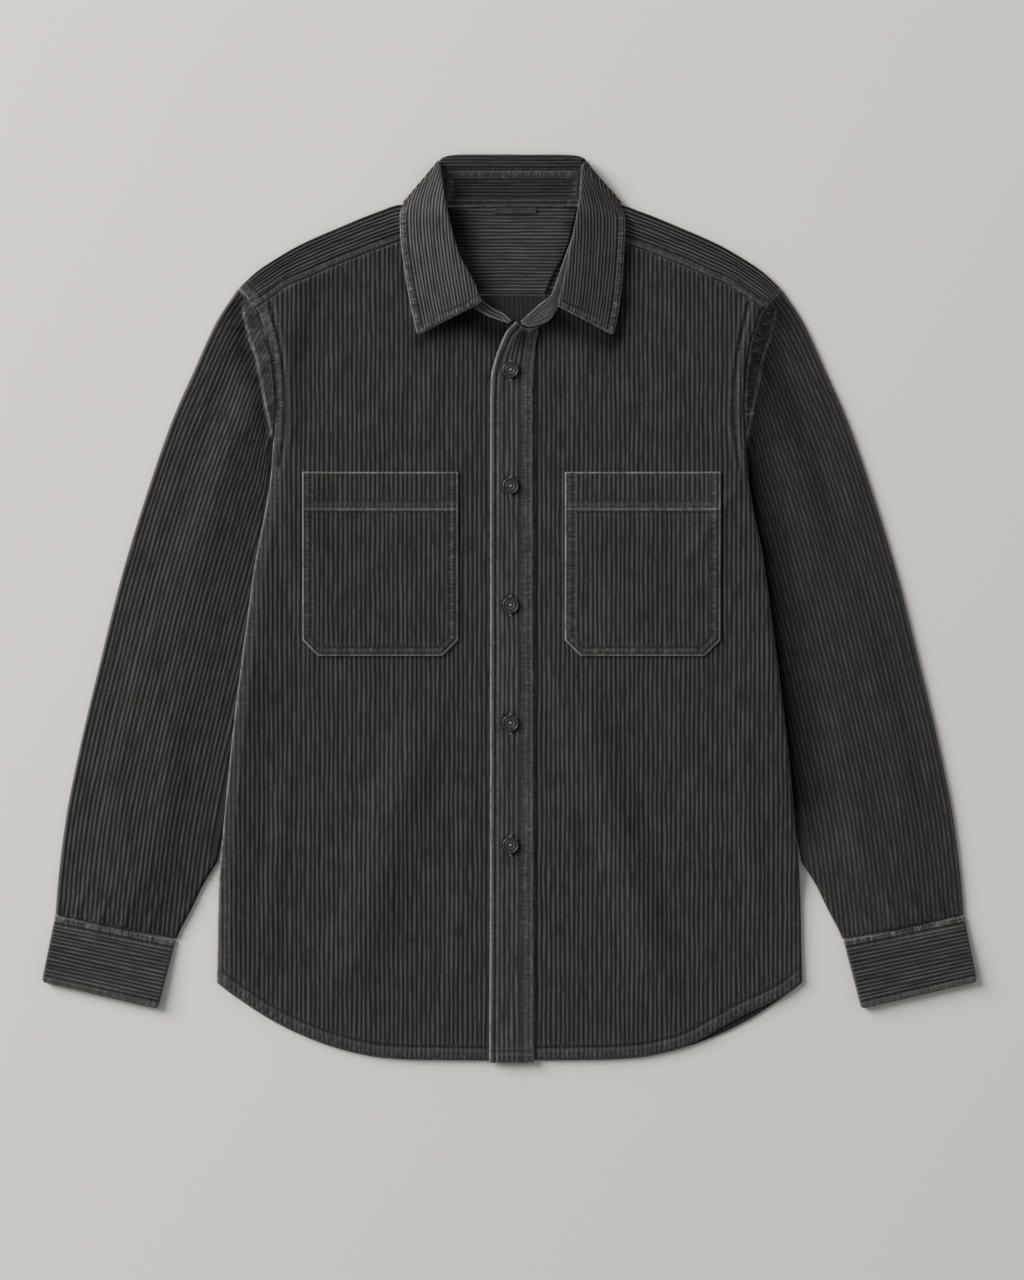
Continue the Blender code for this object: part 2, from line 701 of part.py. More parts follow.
def make_pocket(name, centre):
    """A patch pocket lying on its front."""
    count = 2 * round(POCKET_WIDTH / WALE_PITCH) + 1

    def line(x, z):
        from_side = POCKET_WIDTH / 2 - abs(x - centre)
        bottom = POCKET_BOTTOM + max(0.0, POCKET_CHAMFER - from_side)
        return [(x, y, z) for y in (bottom, POCKET_BAND_Y, POCKET_TOP)]

    xs = spread(count, centre - POCKET_WIDTH / 2, centre + POCKET_WIDTH / 2)
    outer = [line(x, ON_FRONT_Z + WALL + relief(i)) for i, x in enumerate(xs)]
    inner = [line(x, ON_FRONT_Z) for x in (xs[0], *xs[6:-6:count // 3], xs[-1])]
    return panel(name, outer, inner)


def make_placket():
    """The placket strip: wales upright, its top bowed open at the neck."""
    def line(share, z):
        points = [(blend(left, right, share), y, z) for y, left, right in PLACKET]
        return points + [(*along_path(PLACKET_TOP, share), z)]

    fine = spread(PLACKET_HALF_WALES)
    outer = [line(share, ON_FRONT_Z + WALL + relief(i)) for i, share in enumerate(fine)]
    inner = [line(share, ON_FRONT_Z) for share in spread(5)]
    return panel("placket", outer, inner)


def collar_section(corner, roll, leaf, hem, corner_in, leaf_in, hem_in, raised):
    """Lines of one section of the collar fall, seam to hem: outer side and inner side."""
    outer = [corner, roll]
    for i, share in enumerate(spread(2 * COLLAR_WALES + 1)):
        x, y, z = blend(leaf, hem, share)
        outer.append((x, y, z + (relief(i) if raised else 0.0)))
    inner = [corner_in] + [blend(leaf_in, hem_in, share) for share in spread(4)]
    return outer, inner


def front_section(row, side):
    """Section of a leaf that lies on its front."""
    roll_x, roll_y, hem_x, hem_y, under = row
    length = math.dist((roll_x, roll_y), (hem_x, hem_y))
    way = ((hem_x - roll_x) / length, (hem_y - roll_y) / length)

    def at(distance, z):
        return (roll_x + way[0] * distance, roll_y + way[1] * distance, z)

    low = ON_FRONT_Z + LEAF_GAP
    return collar_section(
        at(0.6, under), at(0.0, under + 0.6 * COLLAR_WALL), at(1.6, under + COLLAR_WALL + 0.5),
        (hem_x, hem_y, low + COLLAR_WALL), at(1.6, under), at(3.0, under), (hem_x, hem_y, low), True)


def side_section(side, turn):
    """Section where the fall folds at the shoulder: above the turn or below it."""
    seam, roll, leaf, hem = COLLAR_TURN[side]

    def inside(point):
        return (point[0] - side * TURN_INWARD[0] * COLLAR_WALL, point[1] - TURN_INWARD[1] * COLLAR_WALL)

    outer = [(*point, z) for point, z in zip((seam, roll, leaf, hem), turn[0])]
    inner = [(*inside(point), z) for point, z in zip((seam, leaf, hem), turn[1])]
    return collar_section(*outer, *inner, False)


def back_section(x):
    """Section behind the neck: a strip on top, then the fall folded underneath."""
    share = abs(x) / COLLAR_BACK_HALF
    hem_x = x * COLLAR_SPREAD
    fold = COLLAR_TOP_Y - 2.0 * share ** 4
    return collar_section(
        (x, COLLAR_SEAM_Y, 5.0), (x, fold, 3.4), (x * 1.03, fold - 2.6, 0.0), (hem_x, COLLAR_HEM_Y, 0.0),
        (x, COLLAR_SEAM_Y, 3.3), (x * 1.02, fold - 4.6, COLLAR_WALL),
        (hem_x, COLLAR_HEM_Y, COLLAR_WALL), False)


def make_fall():
    """The collar fall: two leaves on the fronts, one band folded under the back neck."""
    sections = [front_section(row, -1) for row in LEAF_RIGHT]
    sections += [side_section(-1, TURN_ABOVE), side_section(-1, TURN_BELOW)]
    sections += [back_section(x) for x in COLLAR_BACK_XS]
    sections += [side_section(1, TURN_BELOW), side_section(1, TURN_ABOVE)]
    sections += [front_section(row, 1) for row in reversed(LEAF_LEFT)]
    return panel("collar_fall", [outer for outer, _ in sections], [inner for _, inner in sections])


def stand_section(low, high, low_z, high_z, down=False):
    """Lines of one section of the stand, neck seam to top edge."""
    outer = []
    for i, share in enumerate(spread(2 * STAND_WALES + 1)):
        x, y = blend(low, high, share)
        z = blend(low_z, high_z, share)
        outer.append((x, y, z if down else z + STAND_WALL + relief(i) * STAND_RELIEF))
    inner = [(*blend(low, high, share), blend(low_z, high_z, share) + (STAND_WALL if down else 0.0))
             for share in spread(4)]
    return outer, inner


def make_stand():
    """The collar stand: its inside shows behind the neck, its ends at the front."""
    xs, low_y, high_y = STAND_BACK

    def front(row):
        lower_x, lower_y, upper_x, upper_y, low_z, high_z = row
        return stand_section((lower_x, lower_y), (upper_x, upper_y), low_z, high_z, True)

    def side_fold(side):
        low, high = ((*point, STAND_SIDE_Z) for point in STAND_SIDE[side])
        outer = [blend(low, high, share) for share in spread(2 * STAND_WALES + 1)]
        points = [blend(low, high, share) for share in spread(4)]
        inner = [(x - side * STAND_WALL, y, z) for x, y, z in points]
        return outer, inner

    sections = [front(row) for row in STAND_RIGHT]
    sections.append(side_fold(-1))
    sections += [stand_section((x, low_y), (x, high_y), BACK_WALL + GAP, BACK_WALL + GAP + STAND_RISE)
                 for x in xs]
    sections.append(side_fold(1))
    sections += [front(row) for row in reversed(STAND_LEFT)]
    return panel("collar_stand", [outer for outer, _ in sections], [inner for _, inner in sections])


def make_button(name, y):
    """A round button with a raised rim, turned from its profile."""
    data = bpy.data.meshes.new(name)
    mesh = bmesh.new()
    radius = BUTTON_DIAMETER / 2
    verts = [mesh.verts.new((share * radius * MM, 0.0, height * MM)) for share, height in BUTTON_PROFILE]
    edges = [mesh.edges.new(pair) for pair in zip(verts, verts[1:])]
    bmesh.ops.spin(mesh, geom=verts + edges, cent=(0, 0, 0), axis=(0, 0, 1), angle=math.tau,
                   steps=BUTTON_SIDES, use_merge=True)
    bmesh.ops.remove_doubles(mesh, verts=mesh.verts, dist=0.00001)
    bmesh.ops.recalc_face_normals(mesh, faces=mesh.faces)
    mesh.to_mesh(data)
    mesh.free()
    button = bpy.data.objects.new(name, data)
    button.data.materials.append(finish_material("dark_button"))
    button.location = (BUTTON_X * MM, y * MM, (ON_FRONT_Z + WALL + WALE_HEIGHT + GAP) * MM)
    bpy.data.collections[COLLECTION].objects.link(button)
    return button


def main():
    for old in list(bpy.data.objects):
        bpy.data.objects.remove(old, do_unlink=True)
    collection = bpy.data.collections.new(COLLECTION)
    bpy.context.scene.collection.children.link(collection)
    make_back()
    make_yoke()
    make_facing()
    make_front("front_right", -1, RIGHT_FIRST, 0.0, 1)
    make_front("front_left", 1, LEFT_FIRST, LEFT_HEM_RISE, 2)
    make_placket()
    make_stand()
    make_fall()
    make_loop()
    for name, side, centre in (("right", -1, POCKET_CENTRES[0]), ("left", 1, POCKET_CENTRES[1])):
        make_sleeve(f"sleeve_{name}", side)
        make_cuff(f"cuff_{name}", side)
        make_pocket(f"pocket_{name}", centre)
    for number, y in enumerate(BUTTON_YS, 1):
        make_button(f"button_{number}", y)


main()
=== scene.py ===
"""Charcoal corduroy overshirt laid flat on a pale table, seen from straight above.

Tables and mesh code are in millimetres, which become metres when a mesh is made. +X runs to the
wearer's left, +Y to the collar, +Z up off the table. Half widths are measured from the middle.
"""

from __future__ import annotations

import json
import logging
import math
from collections.abc import Callable, Sequence
from dataclasses import dataclass, field
from enum import Enum

import bmesh
import bpy
import numpy as np
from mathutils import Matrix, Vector
from mathutils.bvhtree import BVHTree

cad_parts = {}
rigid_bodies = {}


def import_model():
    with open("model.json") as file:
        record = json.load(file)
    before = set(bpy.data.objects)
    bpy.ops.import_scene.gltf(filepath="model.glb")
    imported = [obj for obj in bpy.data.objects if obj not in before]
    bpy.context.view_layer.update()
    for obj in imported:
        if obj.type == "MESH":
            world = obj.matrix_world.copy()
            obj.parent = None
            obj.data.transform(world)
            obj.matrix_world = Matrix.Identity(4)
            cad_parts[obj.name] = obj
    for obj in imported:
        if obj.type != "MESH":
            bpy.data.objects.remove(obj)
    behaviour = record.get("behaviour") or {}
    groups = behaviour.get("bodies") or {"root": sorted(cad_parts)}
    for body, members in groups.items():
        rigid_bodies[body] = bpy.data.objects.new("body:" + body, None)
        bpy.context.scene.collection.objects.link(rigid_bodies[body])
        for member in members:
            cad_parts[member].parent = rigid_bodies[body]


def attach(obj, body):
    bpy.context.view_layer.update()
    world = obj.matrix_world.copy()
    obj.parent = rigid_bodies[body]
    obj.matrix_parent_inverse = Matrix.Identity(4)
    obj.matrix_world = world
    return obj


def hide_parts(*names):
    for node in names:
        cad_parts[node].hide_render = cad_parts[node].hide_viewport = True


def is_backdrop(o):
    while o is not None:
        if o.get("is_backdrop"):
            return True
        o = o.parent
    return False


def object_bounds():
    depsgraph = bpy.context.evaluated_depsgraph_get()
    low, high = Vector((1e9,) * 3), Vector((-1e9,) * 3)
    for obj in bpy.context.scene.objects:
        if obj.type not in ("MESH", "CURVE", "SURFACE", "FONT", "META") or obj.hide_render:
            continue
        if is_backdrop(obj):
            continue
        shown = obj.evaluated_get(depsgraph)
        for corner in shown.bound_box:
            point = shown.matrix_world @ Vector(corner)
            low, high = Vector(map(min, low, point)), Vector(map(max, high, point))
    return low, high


log = logging.getLogger("overshirt")

Array = np.ndarray
Table = Sequence[Sequence[float]]
RowLine = Callable[[Array], Array]

MM = 0.001
WALL = 1.4
BACK_WALL = 1.8
GAP = 0.3
PITCH = 4.1
PER_WALE = 6
STEP = PITCH / PER_WALE
RELIEF = 0.75
FRONT_TOP = BACK_WALL + GAP + WALL
ON_FRONT = FRONT_TOP + RELIEF + GAP
LIGHT_X = 0.85
LIGHT_Y = -0.52
STEEPEST = 0.4

BODY_SIDE = (
    # y, half width
    (-331.8, 259.5), (-302.0, 258.8), (-262.0, 258.0), (-226.0, 256.2), (-187.4, 252.8),
    (-116.5, 245.8), (-60.0, 239.0), (0.0, 231.0), (43.0, 225.0), (94.4, 214.8), (122.0, 211.0),
    (150.0, 209.3), (180.0, 208.0), (209.0, 209.7), (234.5, 213.3), (258.0, 220.9), (267.0, 225.4),
    (274.6, 232.0), (283.5, 240.4),
)
HEM = (
    # half width, y
    (0.0, -401.0), (80.0, -400.2), (113.0, -398.3), (138.0, -393.8), (163.0, -386.7),
    (187.5, -377.0), (212.0, -364.6), (237.0, -348.6), (250.6, -339.0), (259.5, -331.8),
)
SHOULDER = (
    # half width, y
    (75.0, 357.3), (96.0, 358.2), (115.0, 352.5), (150.0, 338.5), (186.0, 322.5),
    (203.0, 312.8), (221.0, 301.2), (230.0, 293.7), (240.4, 283.5), (250.0, 273.0),
)
YOKE_FRONT_SEAM = (
    # half width, y
    (70.0, 337.5), (97.0, 326.5), (124.0, 316.5), (159.0, 302.6), (177.0, 294.5),
    (194.5, 287.3), (203.3, 282.0), (212.0, 275.3), (225.0, 267.0), (240.0, 257.0),
)
NECKLINE = (
    # half width, y on the right front, y on the left front
    (-16.0, 254.0, 252.0), (0.0, 256.0, 252.0), (7.5, 258.7, 252.0), (16.4, 261.6, 252.4),
    (20.8, 263.5, 253.4), (28.8, 271.0, 256.0), (35.0, 276.0, 260.0), (45.0, 285.0, 273.0),
    (60.0, 304.0, 300.0), (70.0, 320.0, 319.0), (76.0, 333.6, 333.6),
)
ARMHOLE_STITCH = (
    # half width, y of the sewn line beside the armhole, on the body
    (212.2, 272.0), (207.8, 252.1), (203.3, 232.6), (201.6, 221.9), (199.8, 204.2),
    (199.2, 184.7), (199.2, 165.2), (200.7, 145.3), (203.3, 125.4),
)
SLEEVE_WELT = (
    # half width, y of the outer edge of the raised strip beside the armhole, on the sleeve
    (236.0, 262.0), (230.5, 239.9), (225.5, 226.4), (221.4, 206.9), (217.5, 187.4), (213.5, 168.8),
    (211.0, 154.6),
)
STRIP_MIDDLE = (
    # half width, y along the middle of that strip
    (231.0, 268.0), (223.0, 240.0), (217.6, 222.0), (214.2, 204.0), (211.8, 186.0), (210.8, 170.0),
    (209.6, 154.6),
)
FRONT_FOLDS = (
    # x from, y from, x to, y to, half width, height
    (-80.0, -100.0, -140.0, -330.0, 38.0, 2.3),
    (62.0, -80.0, 132.0, -330.0, 33.0, 2.7),
    (-205.0, 118.0, -150.0, 30.0, 11.0, 0.7),
    (-200.0, 95.0, -172.0, -60.0, 13.0, 0.6),
    (204.0, 112.0, 158.0, 44.0, 10.0, 0.6),
    (-60.0, 250.0, -75.0, 150.0, 16.0, 0.6),
    (66.0, 246.0, 60.0, 160.0, 15.0, 0.6),
    (-198.0, -150.0, -215.0, -300.0, 16.0, 0.8),
    (206.0, -120.0, 222.0, -290.0, 17.0, 0.8),
    (40.0, -40.0, 60.0, -230.0, 15.0, 0.6),
    (-38.0, -190.0, -52.0, -350.0, 14.0, 0.6),
)
COLLAR_SHADE = (
    # x from, y from, x to, y to, reach, share of the light lost on the cloth there
    (-79.0, 237.0, -27.0, 261.0, 10.0, 0.45),
    (-44.0, 256.0, -8.0, 246.0, 17.0, 0.80),
    (14.0, 243.0, 44.0, 254.0, 15.0, 0.80),
    (42.0, 256.0, 88.0, 235.0, 11.0, 0.60),
    (93.0, 238.0, 98.0, 272.0, 8.0, 0.60), (98.0, 272.0, 105.0, 330.0, 6.0, 0.30),
)
BAND_SHADE = (
    # the same, beside the front band
    (22.6, -398.0, 22.3, 246.0, 1.7, 0.50),
    (-18.6, -398.0, -18.2, 205.0, 1.3, 0.40),
    (-18.2, 205.0, -3.0, 246.0, 3.0, 0.50),
)
POCKET_SHADE = (
    # the same, beside the pockets
    (-44.8, -26.0, -44.8, 119.0, 1.6, 0.45), (187.5, -26.0, 187.5, 119.0, 1.6, 0.45),
    (-169.0, -43.0, -59.0, -43.0, 1.6, 0.45), (63.0, -43.0, 173.0, -43.0, 1.6, 0.45),
)
SIDE_SHADE = (
    # the same, inside the raised side edge and armhole of the right front
    (-214.0, 90.0, -226.0, -60.0, 14.0, 0.12), (-226.0, -60.0, -232.0, -300.0, 17.0, 0.14),
    (-175.0, 286.0, -187.0, 222.0, 9.0, 0.32), (-187.0, 222.0, -190.0, 150.0, 8.0, 0.26),
)
SHOULDER_SHADE = (
    # the same, on the right sleeve beside the strip along its armhole
    (-245.0, 268.0, -230.0, 208.0, 13.0, 0.45), (-230.0, 208.0, -214.0, 160.0, 9.0, 0.30),
)
NECK_SHADE = (
    # the same, inside the neck
    (-56.0, 386.0, -48.0, 340.0, 20.0, 0.66), (-47.0, 336.0, -24.0, 284.0, 12.0, 0.45),
    (60.0, 384.0, 54.0, 340.0, 6.0, 0.30), (54.0, 340.0, 40.0, 298.0, 5.0, 0.30),
)


# Numbers


def curve(table: Table, keys: Array | float, column: int = 1) -> Array:
    """Smooth curve through a table's column that never overshoots its rows.

    Args:
        table: Rows with the key in their first column.
        keys: Where the curve is read; it is held at the table's ends.
        column: The column that is read.

    Returns:
        The curve's values at the keys.
    """
    rows = np.array(sorted(table), float)
    x, y = rows[:, 0], rows[:, column]
    step = np.diff(x)
    slope = np.diff(y) / step
    tangent = np.empty_like(y)
    tangent[0], tangent[-1] = slope[0], slope[-1]
    product = slope[:-1] * slope[1:]
    total = np.where(product > 0, slope[:-1] + slope[1:], 1.0)
    tangent[1:-1] = np.where(product > 0, 2 * product / total, 0.0)
    keys = np.clip(np.asarray(keys, float), x[0], x[-1])
    i = np.clip(np.searchsorted(x, keys, side="right") - 1, 0, len(x) - 2)
    t = (keys - x[i]) / step[i]
    return (
        y[i] * (1 + 2 * t) * (1 - t) ** 2 + tangent[i] * step[i] * t * (1 - t) ** 2
        + y[i + 1] * t * t * (3 - 2 * t) + tangent[i + 1] * step[i] * t * t * (t - 1)
    )


def smooth(value: Array | float) -> Array:
    """Smooth step from 0 to 1."""
    t = np.clip(value, 0.0, 1.0)
    return t * t * (3 - 2 * t)


def mix(a: Array | float, b: Array | float, share: Array | float) -> Array:
    """Number or point part of the way from a to b."""
    return np.asarray(a) + (np.asarray(b) - np.asarray(a)) * share


def bell(value: Array) -> Array:
    """Bell curve: 1 at 0 and nearly 0 past 2."""
    return np.exp(-(value**2))


def rounded(value: Array | float) -> Array:
    """Quarter circle that rises from 0 at 0 to 1 at 1, as a turned edge does."""
    return np.sqrt(1 - (1 - np.clip(value, 0, 1)) ** 2)


def noise(x: Array, y: Array, seed: int) -> Array:
    """Smooth random heights between -1 and 1, one cell to a unit.

    Args:
        x: First coordinate, already divided by the cell's size.
        y: Second coordinate, already divided by the cell's size.
        seed: Picks the pattern.

    Returns:
        The heights, the same on every run.
    """
    ix, iy = np.floor(x).astype(np.int64), np.floor(y).astype(np.int64)
    fx, fy = smooth(x - ix), smooth(y - iy)

    def corner(i: Array, j: Array) -> Array:
        """Random height of one lattice corner."""
        n = (i * 374761393 + j * 668265263 + seed * 69069) & 0x7FFFFFFF
        n = ((n ^ (n >> 13)) * 1274126177) & 0x7FFFFFFF
        return (n ^ (n >> 16)) / 0x3FFFFFFF - 1.0

    low = corner(ix, iy) * (1 - fx) + corner(ix + 1, iy) * fx
    high = corner(ix, iy + 1) * (1 - fx) + corner(ix + 1, iy + 1) * fx
    return low * (1 - fy) + high * fy


def line_distance(x: Array, y: Array, line: Table) -> tuple[Array, Array]:
    """Distance of points from a line in plan, and how far along it they lie."""
    best, at, run = np.full(x.shape, np.inf), np.zeros(x.shape), 0.0
    for (x0, y0), (x1, y1) in zip(line, line[1:]):
        length = math.hypot(x1 - x0, y1 - y0)
        t = np.clip(((x - x0) * (x1 - x0) + (y - y0) * (y1 - y0)) / length**2, 0, 1)
        away = np.hypot(x - x0 - t * (x1 - x0), y - y0 - t * (y1 - y0))
        nearer = away < best
        best, at = np.where(nearer, away, best), np.where(nearer, run + t * length, at)
        run += length
    return best, at


def mirrored(line: Table, side: int) -> list[tuple[float, float]]:
    """A line of half widths placed on one side."""
    return [(side * u, y) for u, y in line]


# Cloth


class Side(Enum):
    """Side of the wearer; the value is the sign of its X."""

    RIGHT = -1
    LEFT = 1


class SeamKind(Enum):
    """What a sewn line does to the cloth beside it."""

    # Their pale sides and edges are partly real wear and partly painted highlight.
    STITCHED = "a groove with thread in it and swollen, rubbed sides"
    EDGE = "a turned edge that rounds down and is rubbed pale"
    WELT = "a raised band where the cloth is doubled beneath"


@dataclass
class Surface:
    """One side of a cloth piece: rows of points and what the cloth does at each."""

    GRIDS = ("x", "y", "base", "wale", "run")
    LOOKS = ("z", "highlight_and_wear", "tone", "keep", "crumple", "seam")

    x: Array
    y: Array
    base: Array
    wale: Array
    run: Array
    z: Array = field(init=False)
    keep: Array = field(init=False)
    highlight_and_wear: Array = field(init=False)
    tone: Array = field(init=False)
    crumple: Array = field(init=False)
    seam: Array = field(init=False)

    def __post_init__(self) -> None:
        """Starts with full pile on the plain surface, with no rubbing, painted highlight or tone change."""
        self.z = np.array(self.base, float)
        self.keep, self.tone = np.ones_like(self.z), np.ones_like(self.z)
        self.highlight_and_wear, self.crumple, self.seam = (np.zeros_like(self.z) for _ in range(3))

    def sew(self, *seams: Seam) -> Surface:
        """Lets each seam shape the surface."""
        for seam in seams:
            seam.shape(self)
        return self

    def pucker(self, strength: Array, at: Array) -> None:
        """Gathers the cloth in small ripples, which run crosswise at places along a seam."""
        self.seam = np.where(strength > self.crumple, at, self.seam)
        self.crumple = np.maximum(self.crumple, strength)

    def shade(self, *tables: Table) -> Surface:
        """Darkens the pile along lines where something above keeps the light off it."""
        for x0, y0, x1, y1, reach, loss in (row for table in tables for row in table):
            away, _ = line_distance(self.x, self.y, [(x0, y0), (x1, y1)])
            self.tone *= 1 - loss * bell(away / reach)
        return self

    def catch_light(self, lean: float = 1.6, counter_shaded_rise: Array | float = 0.0) -> Surface:
        """Paints slopes that face the window paler and the others darker, as painted light and shade.

        Args:
            lean: Strength of the painted light and shade on slopes.
            counter_shaded_rise: Rises on which the painted light runs the other way, partly cancelling their
                real shading.

        Returns:
            The surface.
        """
        slopes = []
        height = self.z - 2.0 * counter_shaded_rise
        for axis, along in ((1, self.x), (0, self.y)):
            run = np.gradient(along, axis=axis)
            still = np.abs(run) < 0.05
            rise = np.gradient(height, axis=axis)
            slopes.append(np.where(still, 0.0, rise / np.where(still, 1.0, run)))
        facing = np.clip(LIGHT_X * slopes[0] + LIGHT_Y * slopes[1], -STEEPEST, STEEPEST)
        self.tone *= 1 + lean * facing
        return self

    def raise_wales(self, height: float = RELIEF, patchy: float = 0.0) -> Surface:
        """Raises the ribs: a rounded crest between narrow grooves.

        Args:
            height: Height of a rib.
            patchy: How much darker or paler groups of ribs are.

        Returns:
            The surface.
        """
        self.tone *= 1 + patchy * noise(self.wale / 2.2, self.run / 60, 6)
        self.wale = self.wale + 0.13 * noise(self.wale / 1.3, self.run / 34, 3)
        off_crest = 2 * np.abs(self.wale - np.floor(self.wale) - 0.5)
        uneven = 1 + 0.2 * noise(self.wale * 0.9, self.run / 50, 4)
        self.z += height * uneven * np.sqrt(1 - off_crest**2.5) * np.clip(self.keep, 0, 1)
        return self

    def under(self, every: int, wall: float = WALL) -> Surface:
        """The plain side beneath this one, with only some of its columns."""
        last = self.x.shape[1] - 1
        picked = [*range(0, last, every), last]
        return Surface(self.x[:, picked], self.y[:, picked], self.base[:, picked] - wall,
                       self.wale[:, picked], self.run[:, picked])

    def part(self, rows: slice = slice(None), columns: slice = slice(None)) -> Surface:
        """Some rows and columns as a surface of their own, without the seams, rubbing, painted highlight or
        shade put on them.
        """
        return Surface(*(getattr(self, name)[rows, columns] for name in self.GRIDS))

    def beside(self, other: Surface) -> Surface:
        """This surface with another's columns after its own."""
        both = Surface(*(np.hstack([getattr(self, n), getattr(other, n)]) for n in self.GRIDS))
        for name in self.LOOKS:
            setattr(both, name, np.hstack([getattr(self, name), getattr(other, name)]))
        return both

    def sew_rows(self, rows: slice, seams: Sequence[Seam]) -> None:
        """Lets seams shape only some of the rows."""
        part = self.part(rows)
        part.keep = self.keep[rows].copy()
        part.sew(*seams)
        for name in self.LOOKS:
            getattr(self, name)[rows] = getattr(part, name)

    def plan_area(self) -> float:
        """Area of the surface seen from above, in square metres."""
        x, y = self.x, self.y
        across = (x[1:, 1:] - x[:-1, :-1]) * (y[1:, :-1] - y[:-1, 1:])
        down = (y[1:, 1:] - y[:-1, :-1]) * (x[1:, :-1] - x[:-1, 1:])
        return float(np.abs(across - down).sum() / 2) * MM * MM


@dataclass(frozen=True)
class Seam:
    """A sewn line or edge, in plan.

    Attributes:
        line: Plan points it follows.
        kind: What it does.
        offset: Distance of the sewn line to the left of the given one.
        width: Half width of its groove, reach of its rounding, or half width of its band.
        height: Depth of the groove, drop of the edge, or rise of the band.
        pucker: Height of the small crosswise puckers.
        highlight_and_rub: How pale its high sides are painted, 0 to 1, partly as rubbing and partly as
            painted highlight.
        flatten: Share of the ribs that it presses flat.
        painted_groove_shade: Painted shade that darkens the groove.
        threaded: Whether thread is laid in it.
    """

    line: Table
    kind: SeamKind
    offset: float
    width: float
    height: float
    pucker: float
    highlight_and_rub: float
    flatten: float
    painted_groove_shade: float = 0.0
    threaded: bool = False

    def path(self) -> list[tuple[float, float]]:
        """The line moved sideways by its offset, corners mitred."""
        points = np.array(self.line, float)
        if not self.offset:
            return [tuple(p) for p in points]
        ways = np.diff(points, axis=0)
        ways /= np.linalg.norm(ways, axis=1)[:, None]
        normals = np.stack([-ways[:, 1], ways[:, 0]], axis=1)
        joined = np.vstack([normals[:1], normals[:-1] + normals[1:], normals[-1:]])
        joined[1:-1] /= (1 + (normals[:-1] * normals[1:]).sum(axis=1))[:, None]
        return [tuple(p) for p in points + joined * self.offset]

    def shape(self, s: Surface) -> None:
        """Presses and raises the surface along the line, paints its high places paler as wear and painted
        highlight, and paints stitched grooves darker as painted shade.
        """
        away, at = line_distance(s.x, s.y, self.path())
        seed = int(abs(self.line[0][0] * 7 + self.line[0][1] * 3)) % 997
        ripple = noise(at / 3.0, away / 9.0, seed)
        if self.kind is SeamKind.STITCHED:
            groove = bell(away / self.width)
            beside = bell((away - 2.2 * self.width) / (1.2 * self.width))
            s.z += (0.45 * beside - groove) * self.height
            s.pucker(self.pucker * bell(away / (3.4 * self.width)), at)
            s.keep *= 1 - self.flatten * bell(away / (2.0 * self.width))
            s.highlight_and_wear += 0.25 * self.highlight_and_rub * beside
            # Painted shade in the groove.
            s.tone *= 1 - self.painted_groove_shade * groove
        elif self.kind is SeamKind.EDGE:
            s.z -= self.height * (1 - rounded(away / self.width))
            s.pucker(self.pucker * bell(away / (3 * self.width)), at)
            s.keep *= 1 - self.flatten * bell(away / 1.3)
            s.highlight_and_wear += self.highlight_and_rub * bell(away / 0.9) * np.maximum(0.82 + 0.45 * ripple, 0.2)
        else:
            band = smooth((self.width - away) / 1.6)
            s.z += (self.height + 0.3 * self.pucker * ripple) * band
            s.pucker(1.7 * self.pucker * band, at)
            s.highlight_and_wear += 0.12 * self.highlight_and_rub * band
            s.keep *= 1 - self.flatten * band


def edge(line: Table, width: float, height: float, pucker: float, highlight_and_rub: float,
         flatten: float = 0.5) -> Seam:
    """A turned edge along a line."""
    return Seam(line, SeamKind.EDGE, 0.0, width, height, pucker, highlight_and_rub, flatten)


def welt(line: Table, offset: float, width: float, height: float, pucker: float, highlight_and_rub: float,
         flatten: float) -> Seam:
    """A raised band beside a line."""
    return Seam(line, SeamKind.WELT, offset, width, height, pucker, highlight_and_rub, flatten)


def stitched(line: Table, offset: float, width: float, height: float, pucker: float, highlight_and_rub: float,
             painted_groove_shade: float = 0.25, threaded: bool = True) -> Seam:
    """A sewn groove beside a line."""
    return Seam(line, SeamKind.STITCHED, offset, width, height, pucker, highlight_and_rub, 0.5, painted_groove_shade, threaded)


